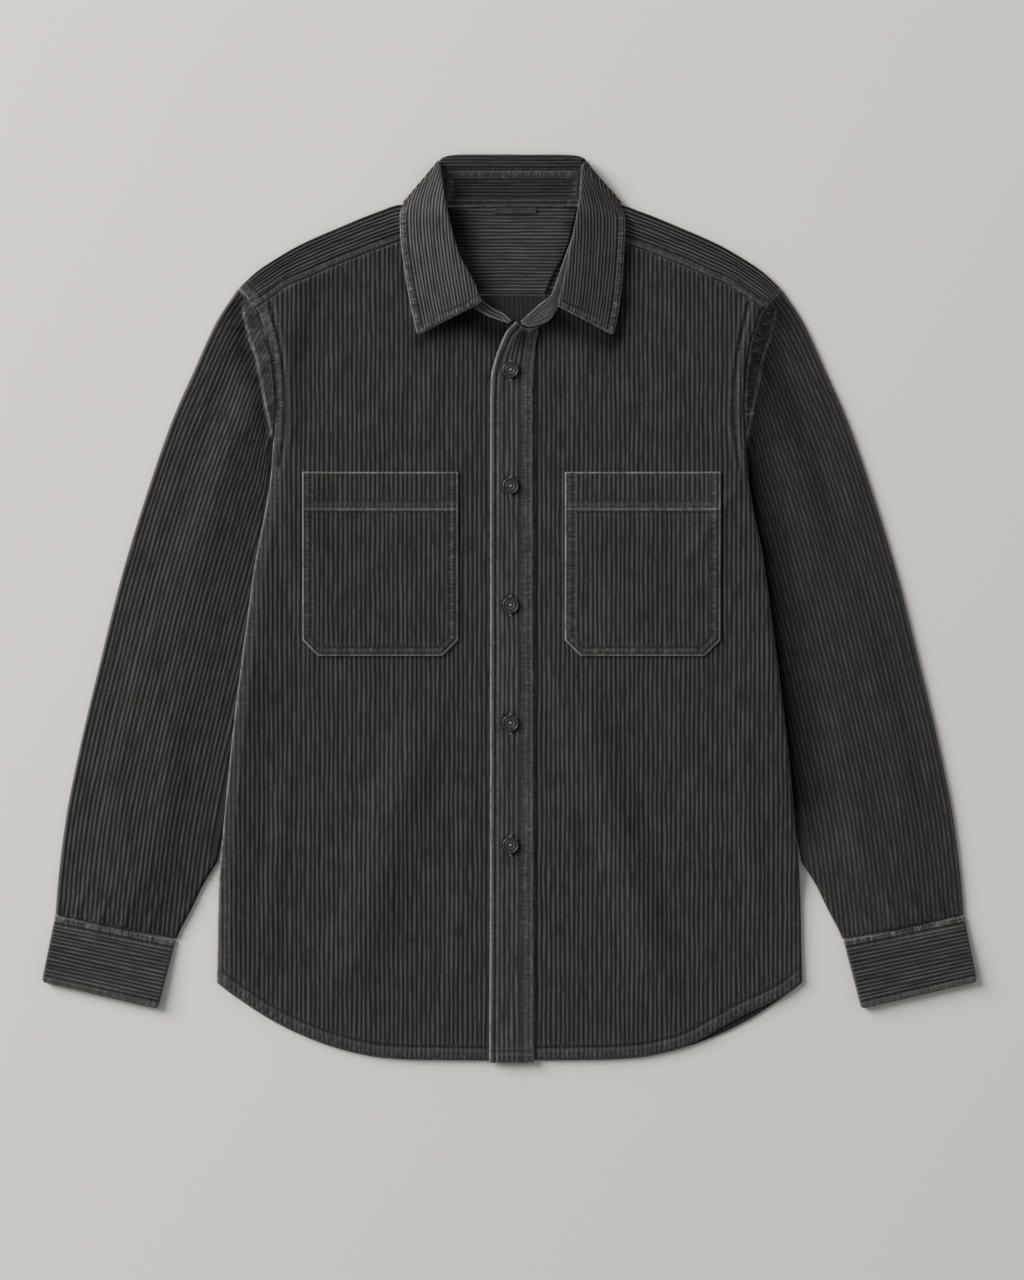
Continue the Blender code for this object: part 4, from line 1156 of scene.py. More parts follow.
@dataclass
class Yoke:
    """Yoke that folds forward over the shoulders, its facing behind the neck, and the loop."""

    shape: BodyShape
    fold_inset: float = 2.0
    wales: int = 9
    columns: int = 96
    piece_tone: float = 1.03
    flat: tuple[float, float] = (0.484, 0.128)
    area: float = 0.052
    facing_rows: Table = (
        # y, half width
        (279.5, 29.0), (297.0, 37.0), (310.0, 44.0), (323.0, 50.0), (340.0, 54.5), (354.6, 58.0),
    )
    facing_middle: float = 2.2
    facing_wall: float = 1.0
    facing_tone: float = 1.26
    rib_contrast: float = 1.5
    fine_pitch: float = 3.06
    facing_flat: tuple[float, float] = (0.118, 0.0755)
    loop: tuple[float, float, float, float] = (-13.7, 23.5, 350.0, 355.0)
    loop_tone: float = 1.12
    loop_flat: tuple[float, float] = (0.010, 0.045)
    loop_area: float = 0.0003

    def back_seam(self, u: Array) -> Array:
        """Seam of the yoke to the back."""
        return self.shape.yoke_seam(u) + GAP

    def line(self, side: Side, row: RowLine, z: float, count: int) -> tuple[Array, Array, Array]:
        """One line of points from neck to armhole along a row."""
        end = self.shape.crossing(row)
        u = np.linspace(self.shape.neck, end, count)
        return side.value * u, row(u), np.full(count, z)

    def half(self, cloth: ClothMesh, side: Side) -> list[Seam]:
        """One shoulder: up from the back seam, round the fold and down to the front seam."""
        def folded(u: Array) -> Array:
            """Line just inside the folded edge."""
            return curve(SHOULDER, u) - self.fold_inset

        def front(u: Array) -> Array:
            """The front seam."""
            return curve(YOKE_FRONT_SEAM, u) + GAP

        def between(share: float) -> RowLine:
            """A row on the front part."""
            return lambda u: mix(folded(u), front(u), share)

        sign, radius = side.value, FRONT_TOP / 2
        lines = [self.line(side, self.back_seam, 0.0, self.columns)]
        lines += [self.line(side, lambda u, t=t: mix(self.back_seam(u), folded(u), t), 0.0, self.columns)
                  for t in (0.3, 0.6, 0.85)]
        for angle in np.linspace(-math.pi / 2, math.pi / 2, 8):
            out = self.fold_inset * (1 - math.cos(angle))
            lines.append(self.line(side, lambda u, o=out: curve(SHOULDER, u) - o,
                                   radius + radius * math.sin(angle), self.columns))
        shares_down = np.linspace(0, 1, self.wales * PER_WALE + 1)[1:]
        lines += [self.line(side, between(t), FRONT_TOP, self.columns) for t in shares_down]
        x, y, z = (np.array(part) for part in zip(*lines))
        plain = len(lines) - len(shares_down)
        wale = np.concatenate([np.linspace(-12, -1, 4), np.linspace(-0.8, 0, plain - 4),
                               shares_down * self.wales])
        s = Surface(x, y, z, np.broadcast_to(wale[:, None], x.shape), x * sign)
        u = np.linspace(self.shape.neck, 228, 24)
        seam_line = list(zip(sign * u, front(u)))
        armhole = mirrored([(w, y) for y, w in BODY_SIDE[-6:]], sign)
        seams = [
            edge(seam_line, 1.3, 0.5, 0.3, 0.45, 0.9),
            stitched(seam_line, 5.6 * sign, 1.1, 0.45, 0.35, 0.2, 0.5),
            welt(seam_line, 2.8 * sign, 2.8, 0.25, 0.35, 0.25, 0.45),
            edge(armhole, 1.5, 0.8, 0.3, 0.8, 0.8),
            welt(armhole, -4.6, 4.6, 0.5, 0.6, 0.8, 0.85),
            stitched(armhole, -9.6, 1.2, 0.4, 0.3, 0.4, threaded=False),
        ]
        s.sew_rows(slice(plain - 4, None), seams)
        s.keep[plain - 3:] *= self.rib_contrast
        s.keep[:plain - 3] = 0.0
        s.z[plain:] += 0.25 * noise(s.x[plain:] / 12, s.y[plain:] / 9, 21) + 0.2
        s.raise_wales(patchy=0.16)
        above = BACK_WALL + GAP
        inner_rows = [(self.back_seam, BACK_WALL), (folded, BACK_WALL), (folded, above),
                      (between(0.5), above), (between(1.0), above)]
        x, y, z = (np.array(part) for part in zip(*(self.line(side, row, z, 9) for row, z in inner_rows)))
        cloth.shell(s, Surface(x, y, z, np.zeros_like(x), x * sign))
        return seams

    def middle(self, cloth: ClothMesh) -> None:
        """The flat part below the neck."""
        y = np.linspace(self.back_seam(np.zeros(1))[0], SHOULDER[0][1], 12)
        x = np.linspace(0.02 - self.shape.neck, self.shape.neck - 0.02, 5)
        grid_x, grid_y = np.meshgrid(x, y)
        top = Surface(grid_x, grid_y, np.full_like(grid_x, BACK_WALL), grid_y / PITCH, grid_x)
        cloth.shell(top, top.under(1, BACK_WALL))

    def facing(self, room: Workroom) -> None:
        """The facing seen in the neck, its ribs level."""
        count = round((self.facing_rows[-1][0] - self.facing_rows[0][0]) / self.fine_pitch * PER_WALE) + 1
        y = np.linspace(self.facing_rows[0][0], self.facing_rows[-1][0], count)
        share = np.linspace(-1, 1, 49)
        half = curve(self.facing_rows, y)
        x = self.facing_middle + half[:, None] * share[None, :]
        grid_y = np.broadcast_to(y[:, None], x.shape)
        top = BACK_WALL + GAP + self.facing_wall
        wobble = 0.35 * noise(x / 20, grid_y / 14, 31)
        s = Surface(x, grid_y + wobble * smooth((grid_y - 281) / 5) * smooth((353 - grid_y) / 5),
                    top + 0.35 * noise(x / 22, grid_y / 18, 32) + 0.1, grid_y / self.fine_pitch, x)
        low = [(-27.0 + self.facing_middle, 279.5), (27.0 + self.facing_middle, 279.5)]
        s.sew(edge(low, 1.2, 0.6, 0.2, 0.3))
        s.shade(NECK_SHADE).raise_wales(0.5, 0.1)
        cloth = ClothMesh("yoke_inside", self.facing_tone)
        cloth.shell(s, s.under(8, self.facing_wall))
        room.lay(cloth, "yoke_facing", self.facing_flat, s.plan_area())

    def hanger(self, room: Workroom) -> None:
        """Narrow folded loop sewn in at the neck seam."""
        x0, x1, y0, y1 = self.loop
        base = BACK_WALL + 2 * GAP + self.facing_wall + RELIEF
        x, y = np.meshgrid(np.linspace(x0, x1, 75), np.linspace(y0, y1, 9))
        bow = 0.5 * np.sin(math.pi * (x - x0) / (x1 - x0)) ** 2
        s = Surface(x, y, base + 0.9 + bow, x / 1.6, y)
        s.sew(edge([(x0, y0), (x1, y0)], 0.8, 0.4, 0.05, 0.3)).raise_wales(0.22)
        cloth = ClothMesh("loop", self.loop_tone)
        cloth.shell(s, s.under(15, 0.9))
        room.lay(cloth, "hanger_loop", self.loop_flat, self.loop_area)

    def build(self, room: Workroom) -> None:
        """Makes the yoke, its facing and the loop."""
        cloth = ClothMesh("shoulder_yoke", self.piece_tone)
        seams = [seam for side in Side for seam in self.half(cloth, side)]
        self.middle(cloth)
        room.lay(cloth, "yoke", self.flat, self.area, seams)
        self.facing(room)
        self.hanger(room)


# Sleeves


@dataclass
class Sleeve:
    """Long sleeve pressed flat, tucked under the body's side edge, and its cuff."""

    shape: BodyShape
    side: Side
    rings: Table = (
        # ring, outer x, outer y, inner y, share of the armhole's bow
        (0, 241.0, 283.5, 124.6, 1.0), (1, 259.4, 255.6, 117.0, 0.72), (2, 280.0, 211.0, 101.0, 0.42),
        (3, 299.3, 167.0, 76.0, 0.2), (4, 323.8, 96.1, 30.0, 0.06), (5, 345.1, 25.3, -28.0, 0.0),
        (6, 362.8, -45.6, -84.0, 0.0), (7, 379.7, -116.5, -140.0, 0.0), (8, 393.8, -187.4, -196.0, 0.0),
        (9, 400.4, -240.6, -252.0, 0.0), (10, 402.9, -271.5, -293.0, 0.0),
    )
    inner_edge: Table = (
        # y, half width below the body's side
        (-294.0, 295.8), (-284.0, 291.6), (-267.1, 282.5), (-245.9, 272.4), (-224.6, 259.2), (124.6, 211.4),
    )
    free_y: float = -224.6
    underarm_y: float = 124.6
    shoulder_y: float = 283.5
    armhole_gap: float = 0.6
    tuck: float = 6.0
    gap_inside: float = 0.4
    crown: float = 3.0
    fold: float = 2.4
    lean_top: tuple[float, float] = (45.0, 27.0)
    lean_cuff: tuple[float, float] = (8.0, 14.0)
    body_shade: tuple[float, float] = (28.0, 0.90)
    piece_tone: float = 0.95
    flat: tuple[float, float] = (0.400, 0.600)
    cuff_seam: Table = ((403.1, -272.2), (296.2, -294.3))
    cuff_edge: Table = ((414.6, -330.9), (311.9, -354.9))
    cuff_wall: float = 1.5
    ring_mm: float = 58.0
    rib_height: tuple[float, float] = (0.96, 0.66)
    cuff_wales: int = 18
    cuff_tones: tuple[float, float] = (1.20, 1.06)
    cuff_open: float = 2.2
    corner: float = 3.4
    cuff_flat: tuple[float, float] = (0.236, 0.062)
    gathers: Table = (
        # ring from, ring to, share across, half width, height
        (0.0, 1.1, 0.10, 0.050, 0.8), (0.0, 0.9, 0.26, 0.040, 0.7), (0.0, 1.3, 0.42, 0.055, 0.8),
        (0.0, 1.0, 0.60, 0.045, 0.7), (0.0, 1.4, 0.78, 0.050, 0.8), (0.4, 5.6, 0.27, 0.150, -0.9),
        (0.6, 4.8, 0.52, 0.160, 0.7), (4.4, 8.4, 0.30, 0.130, 0.6), (6.0, 9.2, 0.62, 0.140, 0.8),
        (8.6, 10.0, 0.20, 0.050, 0.7), (8.9, 10.0, 0.40, 0.045, 0.7), (8.7, 10.0, 0.58, 0.050, 0.7),
        (9.0, 10.0, 0.80, 0.045, 0.7),
    )

    def inner(self, y: float) -> float:
        """Half width of the inner fold, tucked under the body's side."""
        share = min(1.0, max(0.0, (y - self.free_y) / (self.underarm_y - self.free_y)))
        rows = np.array(sorted(self.inner_edge))
        straight = float(np.interp(y, rows[:, 0], rows[:, 1]))
        return straight - self.tuck * math.sin(math.pi * share)

    def path(self, ring: float, samples: int = 81) -> Array:
        """Plan points across the sleeve at one ring, outer fold to inner fold."""
        outer_x, outer_y, inner_y, bow = (float(curve(self.rings, ring, c)) for c in (1, 2, 3, 4))
        share = np.linspace(0, 1, samples)[:, None]
        y = mix(self.shoulder_y, self.underarm_y, share[:, 0])
        arm = np.stack([self.shape.half_width(y) + self.armhole_gap, y], axis=1)
        plain = mix(np.array([outer_x, outer_y]), np.array([self.inner(inner_y), inner_y]), share)
        return plain + bow * (arm - mix(arm[0], arm[-1], share))

    def across(self, path: Array, along: float) -> Array:
        """Distance across the ribs at each point of a ring."""
        outer = mix(self.lean_top[0], self.lean_cuff[0], min(1.0, along * 1.8) ** 0.6)
        inner = mix(self.lean_top[1], self.lean_cuff[1], along)
        lean = np.radians(mix(outer, inner, np.arange(len(path) - 1) / (len(path) - 1)))
        step = np.diff(path, axis=0)
        crossed = np.abs(step[:, 0] * np.cos(lean) + step[:, 1] * np.sin(lean))
        return np.concatenate([[0.0], np.cumsum(crossed)])

    def beside_body(self, u: Array, y: Array) -> Array:
        """Tone of the pile beside the body, which keeps the window's light off the left sleeve."""
        if self.side is Side.RIGHT:
            return np.ones_like(u)
        reach, loss = self.body_shade
        away = np.maximum(0.0, u - self.shape.half_width(y))
        along = smooth((292.0 - y) / 30.0) * smooth((y + 222.0) / 60.0)
        return 1 - loss * along * np.exp(-((away / reach) ** 1.5))

    def surface(self) -> tuple[Surface, Surface, int]:
        """Outer loops, inner loops and the number of ribbed columns."""
        rings = np.concatenate([[0, 0.012, 0.03, 0.055, 0.09, 0.14, 0.2], np.linspace(0.27, 9.7, 118),
                                [9.78, 9.85, 9.9, 9.94, 9.97, 9.99, 10.0]])
        paths = [self.path(ring) for ring in rings]
        cross = [self.across(path, ring / 10) for path, ring in zip(paths, rings)]
        columns = int(max(c[-1] for c in cross) / STEP) + 2
        back = np.array([1.0, 0.8, 0.6, 0.4, 0.2, 0.0])
        share_grid = np.linspace(0, 1, len(paths[0]))
        top_share = np.array([np.interp(np.arange(columns) * STEP, c, share_grid) for c in cross])
        fold_share = np.array([self.fold / np.linalg.norm(p[0] - p[-1]) for p in paths])

        def place(share: Array) -> tuple[Array, Array]:
            """Plan points of the rings at shares across."""
            x = np.array([np.interp(s, share_grid, p[:, 0]) for s, p in zip(share, paths)])
            y = np.array([np.interp(s, share_grid, p[:, 1]) for s, p in zip(share, paths)])
            return x, y

        def rounding(share: Array) -> Array:
            """0 on the folds, 1 past the fold's reach."""
            return rounded(np.minimum(share, 1 - share) / fold_share[:, None])

        x, y = place(top_share)
        middle = (2 * WALL + self.gap_inside) / 2
        crown = self.crown * np.sin(math.pi * top_share) ** 2
        along = rings[:, None]
        for start, end, at, half, height in self.gathers:
            ends = smooth((along - start + (0.5 if start == 0 else 0.0)) / 0.5) * smooth((end - along) / 0.6)
            if end == 10.0:
                ends = smooth((along - start) / 0.8)
            drift = 0.05 * noise(along / 1.4, np.full_like(along, at * 9), 41)
            crown = crown + height * ends * smooth(1 - np.abs(top_share - at - drift) / half)
        crown = crown + 0.25 * noise(x / 30, y / 50, 42) * np.sin(math.pi * top_share)
        upper = middle + middle * rounding(top_share) + crown * rounding(top_share)
        under_share = np.broadcast_to(back, (len(rings), len(back)))
        bx, by = place(under_share)
        lower = middle - middle * rounding(np.clip(under_share, 0, 1))
        wale_top = np.broadcast_to(np.arange(columns) / PER_WALE, x.shape)
        wale_back = np.array([np.interp(s, share_grid, c) for s, c in zip(under_share, cross)]) / PITCH
        run = along * self.ring_mm
        side, right = self.side.value, self.side is Side.RIGHT
        top = Surface(side * x, y, upper, wale_top, np.broadcast_to(run, x.shape))
        hidden = (1 - top_share) < fold_share[:, None] * np.where(y > self.free_y, 3.0, 0.15)
        top.keep = np.where(hidden, 0.0, rounding(top_share)) * self.rib_height[0 if right else 1]
        top.highlight_and_wear = 0.55 * bell(top_share / fold_share[:, None] / 0.5)
        arm = mirrored([(w + self.armhole_gap, y) for y, w in BODY_SIDE[-9:]], side)
        end = mirrored([tuple(p) for p in paths[-1][::8]], side)
        # The right sleeve faces the light: its seams get more painted highlight and its strip stands higher.
        lit_and_worn = 1.0 if right else 0.3
        top.sew(
            edge(arm, 1.6, 0.7, 0.4, 0.5 * lit_and_worn, 0.8),
            welt(mirrored(STRIP_MIDDLE, side), 0.0, 6.4, 1.1 * lit_and_worn, 0.35, 0.5 * lit_and_worn, 0.45),
            edge(mirrored(SLEEVE_WELT, side), 0.9, 0.15, 0.15, 0.8 * lit_and_worn, 0.6),
            edge(end, 2.0, 0.9, 0.5, 0.1, 0.8),
            welt(end, side * 4.0, 5.0, 0.0, 0.8, 0.5, 0.3),
        )
        top.z = np.maximum(top.z, 0.2)
        top.tone *= self.beside_body(x, y)
        if right:
            top.shade(SHOULDER_SHADE)
        top.catch_light(0.8).raise_wales()
        bottom = Surface(side * bx, by, lower, wale_back, np.broadcast_to(run, bx.shape))
        station = np.array([0.02, 0.2, 0.4, 0.6, 0.8, 0.975, 0.8, 0.6, 0.4, 0.2])
        in_share = np.broadcast_to(station, (len(rings), len(station)))
        ix, iy = place(in_share)
        ceiling = WALL + self.gap_inside + 0.8 * self.crown * np.sin(math.pi * in_share) ** 2
        iz = np.where(np.arange(len(station)) > 5, WALL, ceiling)
        inner = Surface(side * ix, iy, iz, np.zeros_like(ix), np.zeros_like(ix))
        return top.beside(bottom), inner, columns

    def build(self, room: Workroom) -> None:
        """Makes the sleeve and its cuff."""
        name = self.side.name.lower()
        outer, inner, columns = self.surface()
        cloth = ClothMesh(f"{name}_sleeve", self.piece_tone)
        cloth.tube(outer, inner, columns)
        area = 2 * outer.part(columns=slice(columns)).plan_area()
        room.lay(cloth, f"sleeve_{name}", self.flat, area)
        self.cuff(room)

    def cuff(self, room: Workroom) -> None:
        """The cuff: two walls, ribs round the wrist, sewn above its lower edge."""
        side, name = self.side.value, self.side.name.lower()
        middle = (2 * self.cuff_wall + self.gap_inside) / 2
        down = np.unique(np.concatenate([np.linspace(0, 1, self.cuff_wales * PER_WALE + 1),
                                         [0.004, 0.01, 0.016, 0.984, 0.99, 0.996]]))
        share = np.concatenate([[0, 0.004, 0.01, 0.018], np.linspace(0.03, 0.97, 52),
                                [0.982, 0.99, 0.996, 1]])
        seam, hem = np.array(self.cuff_seam), np.array(self.cuff_edge)

        def place(shares_across: Array) -> tuple[Array, Array]:
            """Plan points at shares across, for every row."""
            left, right = (mix(seam[i], hem[i], down[:, None]) for i in (0, 1))
            from_hem = (1 - down) * np.linalg.norm(hem[0] - seam[0]) / self.corner
            inset = self.corner * (1 - rounded(from_hem)) / np.linalg.norm(hem[1] - hem[0])
            at = inset[:, None] + shares_across[None, :] * (1 - 2 * inset[:, None])
            points = left[:, None, :] + (right - left)[:, None, :] * at[:, :, None]
            return points[..., 0], points[..., 1]

        x, y = place(share)
        turned = np.broadcast_to(rounded(np.minimum(share, 1 - share) / 0.018), x.shape)
        stands = self.cuff_open * smooth(down[:, None])
        upper = middle + middle * turned + 0.2 * noise(x / 14, y / 14, 51) * turned + stands
        wale = down[:, None] * self.cuff_wales
        top = Surface(side * x, y, upper, np.broadcast_to(wale, x.shape), side * x)
        top.keep = turned.copy()
        top.highlight_and_wear = np.zeros_like(x) + 0.3 * bell(share / 0.010) + 0.3 * bell((1 - share) / 0.010)
        sewn_on, lowest = (mirrored(line, side) for line in (self.cuff_seam, self.cuff_edge))
        seams = [
            edge(sewn_on, 1.2, 0.5, 0.25, 0.55, 0.9),
            stitched(sewn_on, side * 6.4, 1.1, 0.45, 0.45, 0.4),
            welt(sewn_on, side * 3.2, 3.0, 0.3, 0.9, 0.55, 0.3),
            welt(lowest, -side * 3.2, 3.0, 0.2, 0.4, 0.5, 0.3),
            edge(lowest, 1.4, 1.0, 0.2, 0.85, 0.9),
            stitched(lowest, -side * 6.2, 1.1, 0.45, 0.4, 0.4),
        ]
        top.sew(*seams).raise_wales(patchy=0.18)
        bx, by = place(np.array([0.98, 0.75, 0.5, 0.25, 0.02]))
        bottom = Surface(side * bx, by, np.zeros_like(bx), np.broadcast_to(wale, bx.shape), side * bx)
        ix, iy = place(np.array([0.02, 0.5, 0.98, 0.98, 0.5, 0.02]))
        iz = self.cuff_wall + (self.gap_inside + stands) * np.array([1, 1, 1, 0, 0, 0])[None, :]
        inner = Surface(side * ix, iy, iz, np.zeros_like(ix), np.zeros_like(ix))
        cloth = ClothMesh(f"{name}_cuff", self.cuff_tones[0 if self.side is Side.RIGHT else 1])
        cloth.tube(top.beside(bottom), inner, len(share))
        room.lay(cloth, f"cuff_{name}", self.cuff_flat, 2 * top.plan_area(), seams)


# Pieces that lie on the fronts


@dataclass
class Pocket:
    """Patch pocket with a turned hem and cut corners, sewn on a front."""

    shape: BodyShape
    side: Side
    centre: float
    width: float = 137.6
    top: float = 120.9
    bottom: float = -42.1
    chamfer: float = 14.0
    band: float = 88.0
    piece_tone: tuple[float, float] = (0.95, 1.02)
    flat: tuple[float, float] = (0.138, 0.163)

    def outline(self, x: Array) -> Array:
        """Lower edge with its cut corners."""
        from_side = self.width / 2 - np.abs(x - self.centre)
        return self.bottom + np.maximum(0, self.chamfer - from_side)

    def build(self, room: Workroom) -> None:
        """Makes the pocket."""
        half = self.width / 2
        count = round(self.width / STEP) + 1
        x = np.linspace(self.centre - half, self.centre + half, count)
        x[1], x[-2] = x[0] + 0.35, x[-1] - 0.35
        low = (0, 0.4, 0.9, 1.5, 2.3, 3.2, 4.4, 5.8, 7.0, 8.2, 10, 12)
        rows = [self.outline(x) + o for o in low]
        rows += [mix(self.outline(x) + low[-1], 78.0, t) for t in np.linspace(0, 1, 38)[1:]]
        rows += [np.full_like(x, y) for y in (81, 83.5, 85.5, 86.8, 88, 89.2, 90.5, 92.5, 95, 98, 101.5, 105,
                                              108.5, 112, 115, 117.3, 118.8, 119.7, 120.4, 120.9)]
        grid_y = np.array(rows)
        grid_x = np.broadcast_to(x, grid_y.shape)
        z = ON_FRONT + WALL + self.shape.ground(grid_x, grid_y) + 0.15 * noise(grid_x / 13, grid_y / 20, 61)
        z = z + 0.25 * smooth((grid_y - self.band) / 2)
        s = Surface(grid_x, grid_y, z, grid_x / PITCH, grid_y)
        left, right, cut = self.centre - half, self.centre + half, self.chamfer
        under = [(left, self.top), (left, self.bottom + cut), (left + cut, self.bottom),
                 (right - cut, self.bottom), (right, self.bottom + cut), (right, self.top)]
        upper = [(left, self.top), (right, self.top)]
        band = [(left, self.band), (right, self.band)]
        seams = [
            edge(under, 1.0, 0.5, 0.2, 1.45, 0.9),
            welt(under[2:4], 4.6, 4.0, 0.1, 0.4, 0.3, 0.3),
            edge(upper, 1.0, 0.5, 0.2, 0.9, 0.8),
            stitched(under, 2.2, 0.8, 0.3, 0.2, 0.1, 0.45),
            stitched(under, 7.4, 1.0, 0.3, 0.4, 0.15, 0.4),
            edge(band, 0.8, 0.1, 0.1, 0.7, 0.7),
            stitched(band, -1.8, 1.2, 0.15, 0.1, 0.0, 0.6, False),
            welt(band, 3.6, 3.4, 0.1, 0.3, 0.18, 0.2),
            stitched(band, 6.2, 1.0, 0.3, 0.3, 0.2, 0.4),
        ]
        seams += [welt([(u, self.top), (u, self.bottom + cut)], 0.0, 4.2, 0.15, 0.35, 0.15, 0.6)
                  for u in (left + 6, right - 6)]
        lift = self.shape.lift(np.abs(grid_x), grid_y)
        s.sew(*seams).catch_light(0.5, lift).raise_wales(patchy=0.1)
        name = self.side.name.lower()
        cloth = ClothMesh(f"{name}_chest_pocket", self.piece_tone[0 if self.side is Side.RIGHT else 1])
        cloth.shell(s, s.under(20))
        room.lay(cloth, f"pocket_{name}", self.flat, s.plan_area(), seams)


@dataclass
class Placket:
    """Front band with its buttons and buttonholes."""

    shape: BodyShape
    edges: Table = (
        # y, left edge x, right edge x
        (-402.5, -18.0, 21.7), (-250.0, -17.3, 21.3), (-100.0, -17.2, 21.2), (50.0, -17.2, 21.0),
        (185.0, -17.0, 20.8), (209.5, -16.0, 21.3), (226.0, -11.3, 22.4), (238.5, -6.6, 23.8),
        (247.6, -1.5, 25.8),
    )
    top: Table = ((5.5, 254.3), (9.5, 251.6), (12.0, 248.9), (17.3, 247.9), (25.8, 249.5))
    wales: int = 9
    button_x: float = 0.9
    button_ys: tuple[float, ...] = (211.3, 108.5, 3.1, -101.4, -209.5)
    rim_shade: tuple[float, float, float] = (7.8, 1.1, 0.7)
    button_diameter: float = 15.0
    piece_tone: float = 1.2
    rib_height: float = 0.6
    flat: tuple[float, float] = (0.045, 0.658)

    def height(self, x: Array, y: Array) -> Array:
        """Smooth upper side of the band."""
        return ON_FRONT + WALL + self.shape.lie(x, y) + 0.12 * noise(x / 11, y / 15, 71)

    def build(self, room: Workroom) -> None:
        """Makes the band, then its buttons."""
        ys = np.unique(np.concatenate([np.array([0, 0.4, 0.9, 1.5, 2.5, 4, 6, 8, 9.5, 11, 12.5, 15]) - 402.5,
                                       np.linspace(-384, 247.6, 206)]))
        share = np.unique(np.concatenate([np.linspace(0, 1, self.wales * PER_WALE + 1),
                                          [0.008, 0.025, 0.04, 0.06, 0.94, 0.96, 0.975, 0.992]]))
        left, right = curve(self.edges, ys, 1), curve(self.edges, ys, 2)
        x = left[:, None] + (right - left)[:, None] * share[None, :]
        y = np.broadcast_to(ys[:, None], x.shape).copy()
        top = np.array(self.top)
        at = share * (len(top) - 1)
        top_x, top_y = (np.interp(at, np.arange(len(top)), top[:, c]) for c in (0, 1))
        for t in (0.25, 0.5, 0.75, 1.0):
            x = np.vstack([x, mix(x[len(ys) - 1], top_x, t)])
            y = np.vstack([y, mix(y[len(ys) - 1], top_y, t)])
        s = Surface(x, y, self.height(x, y), np.broadcast_to(share * self.wales, x.shape), y)
        step = [(a, b) for b, a in zip(ys[::6], left[::6])] + [tuple(top[0])]
        other = [(a, b) for b, a in zip(ys[::6], right[::6])]
        hem = [(left[0], ys[0]), (right[0], ys[0])]
        seams = [
            edge(step, 2.0, 1.1, 0.2, 1.3, 0.9),
            welt(step, -1.6, 1.4, 0.25, 0.1, 0.3, 0.3),
            edge(other, 1.2, 1.1, 0.2, 1.2, 0.9),
            welt(other, 5.4, 4.4, 0.0, 0.3, 0.3, 0.5),
            stitched(step, -5.6, 1.0, 0.4, 0.4, 0.4, 0.4),
            stitched(other, 10.4, 1.0, 0.2, 0.3, 0.1, 0.3),
            edge(hem, 1.4, 1.0, 0.2, 0.8, 0.9),
            stitched(hem, 10.0, 1.1, 0.4, 0.3, 0.4),
            edge([tuple(p) for p in top], 1.3, 0.7, 0.1, 0.3),
        ]
        s.sew(*seams).catch_light().shade(COLLAR_SHADE[2:3])
        radius, reach, loss = self.rim_shade
        for level in self.button_ys:
            away = np.abs(np.hypot(x - self.button_x, y - level) - radius)
            s.tone *= 1 - loss * bell(away / reach)
        s.raise_wales(self.rib_height, 0.15)
        cloth = ClothMesh("front_band", self.piece_tone)
        cloth.shell(s, s.under(9))
        room.lay(cloth, "placket", self.flat, s.plan_area(), seams)
        for number, level in enumerate(self.button_ys, 1):
            self.button(room, number, level)

    def button(self, room: Workroom, number: int, y: float) -> None:
        """One button with its thread, and the buttonhole beneath it."""
        height = float(self.height(np.array([self.button_x]), np.array([y]))[0]) + 0.6
        button, x = Button(self.button_diameter), self.button_x * MM
        place, turn = (x, y * MM, (height + 0.45) * MM), (0, 0, math.radians((number * 37) % 50 - 25))
        data = button.mesh(f"button_{number}_disc")
        data.materials.append(room.resin)
        disc = placed(data.name, data, place, turn)
        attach(disc, "root")
        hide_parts(f"button_{number}")
        knot = button.thread(f"button_{number}_thread")
        knot.materials.append(room.button_thread)
        bars = placed(knot.name, knot, place, turn)
        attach(bars, "root")
        hole = Buttonhole().mesh(f"buttonhole_{number}")
        hole.materials.append(room.button_thread)
        slit = placed(hole.name, hole, (x, (y - 0.6) * MM, (height + 0.1) * MM))
        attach(slit, "root")
        log.info("button %d at %.1f mm", number, y)


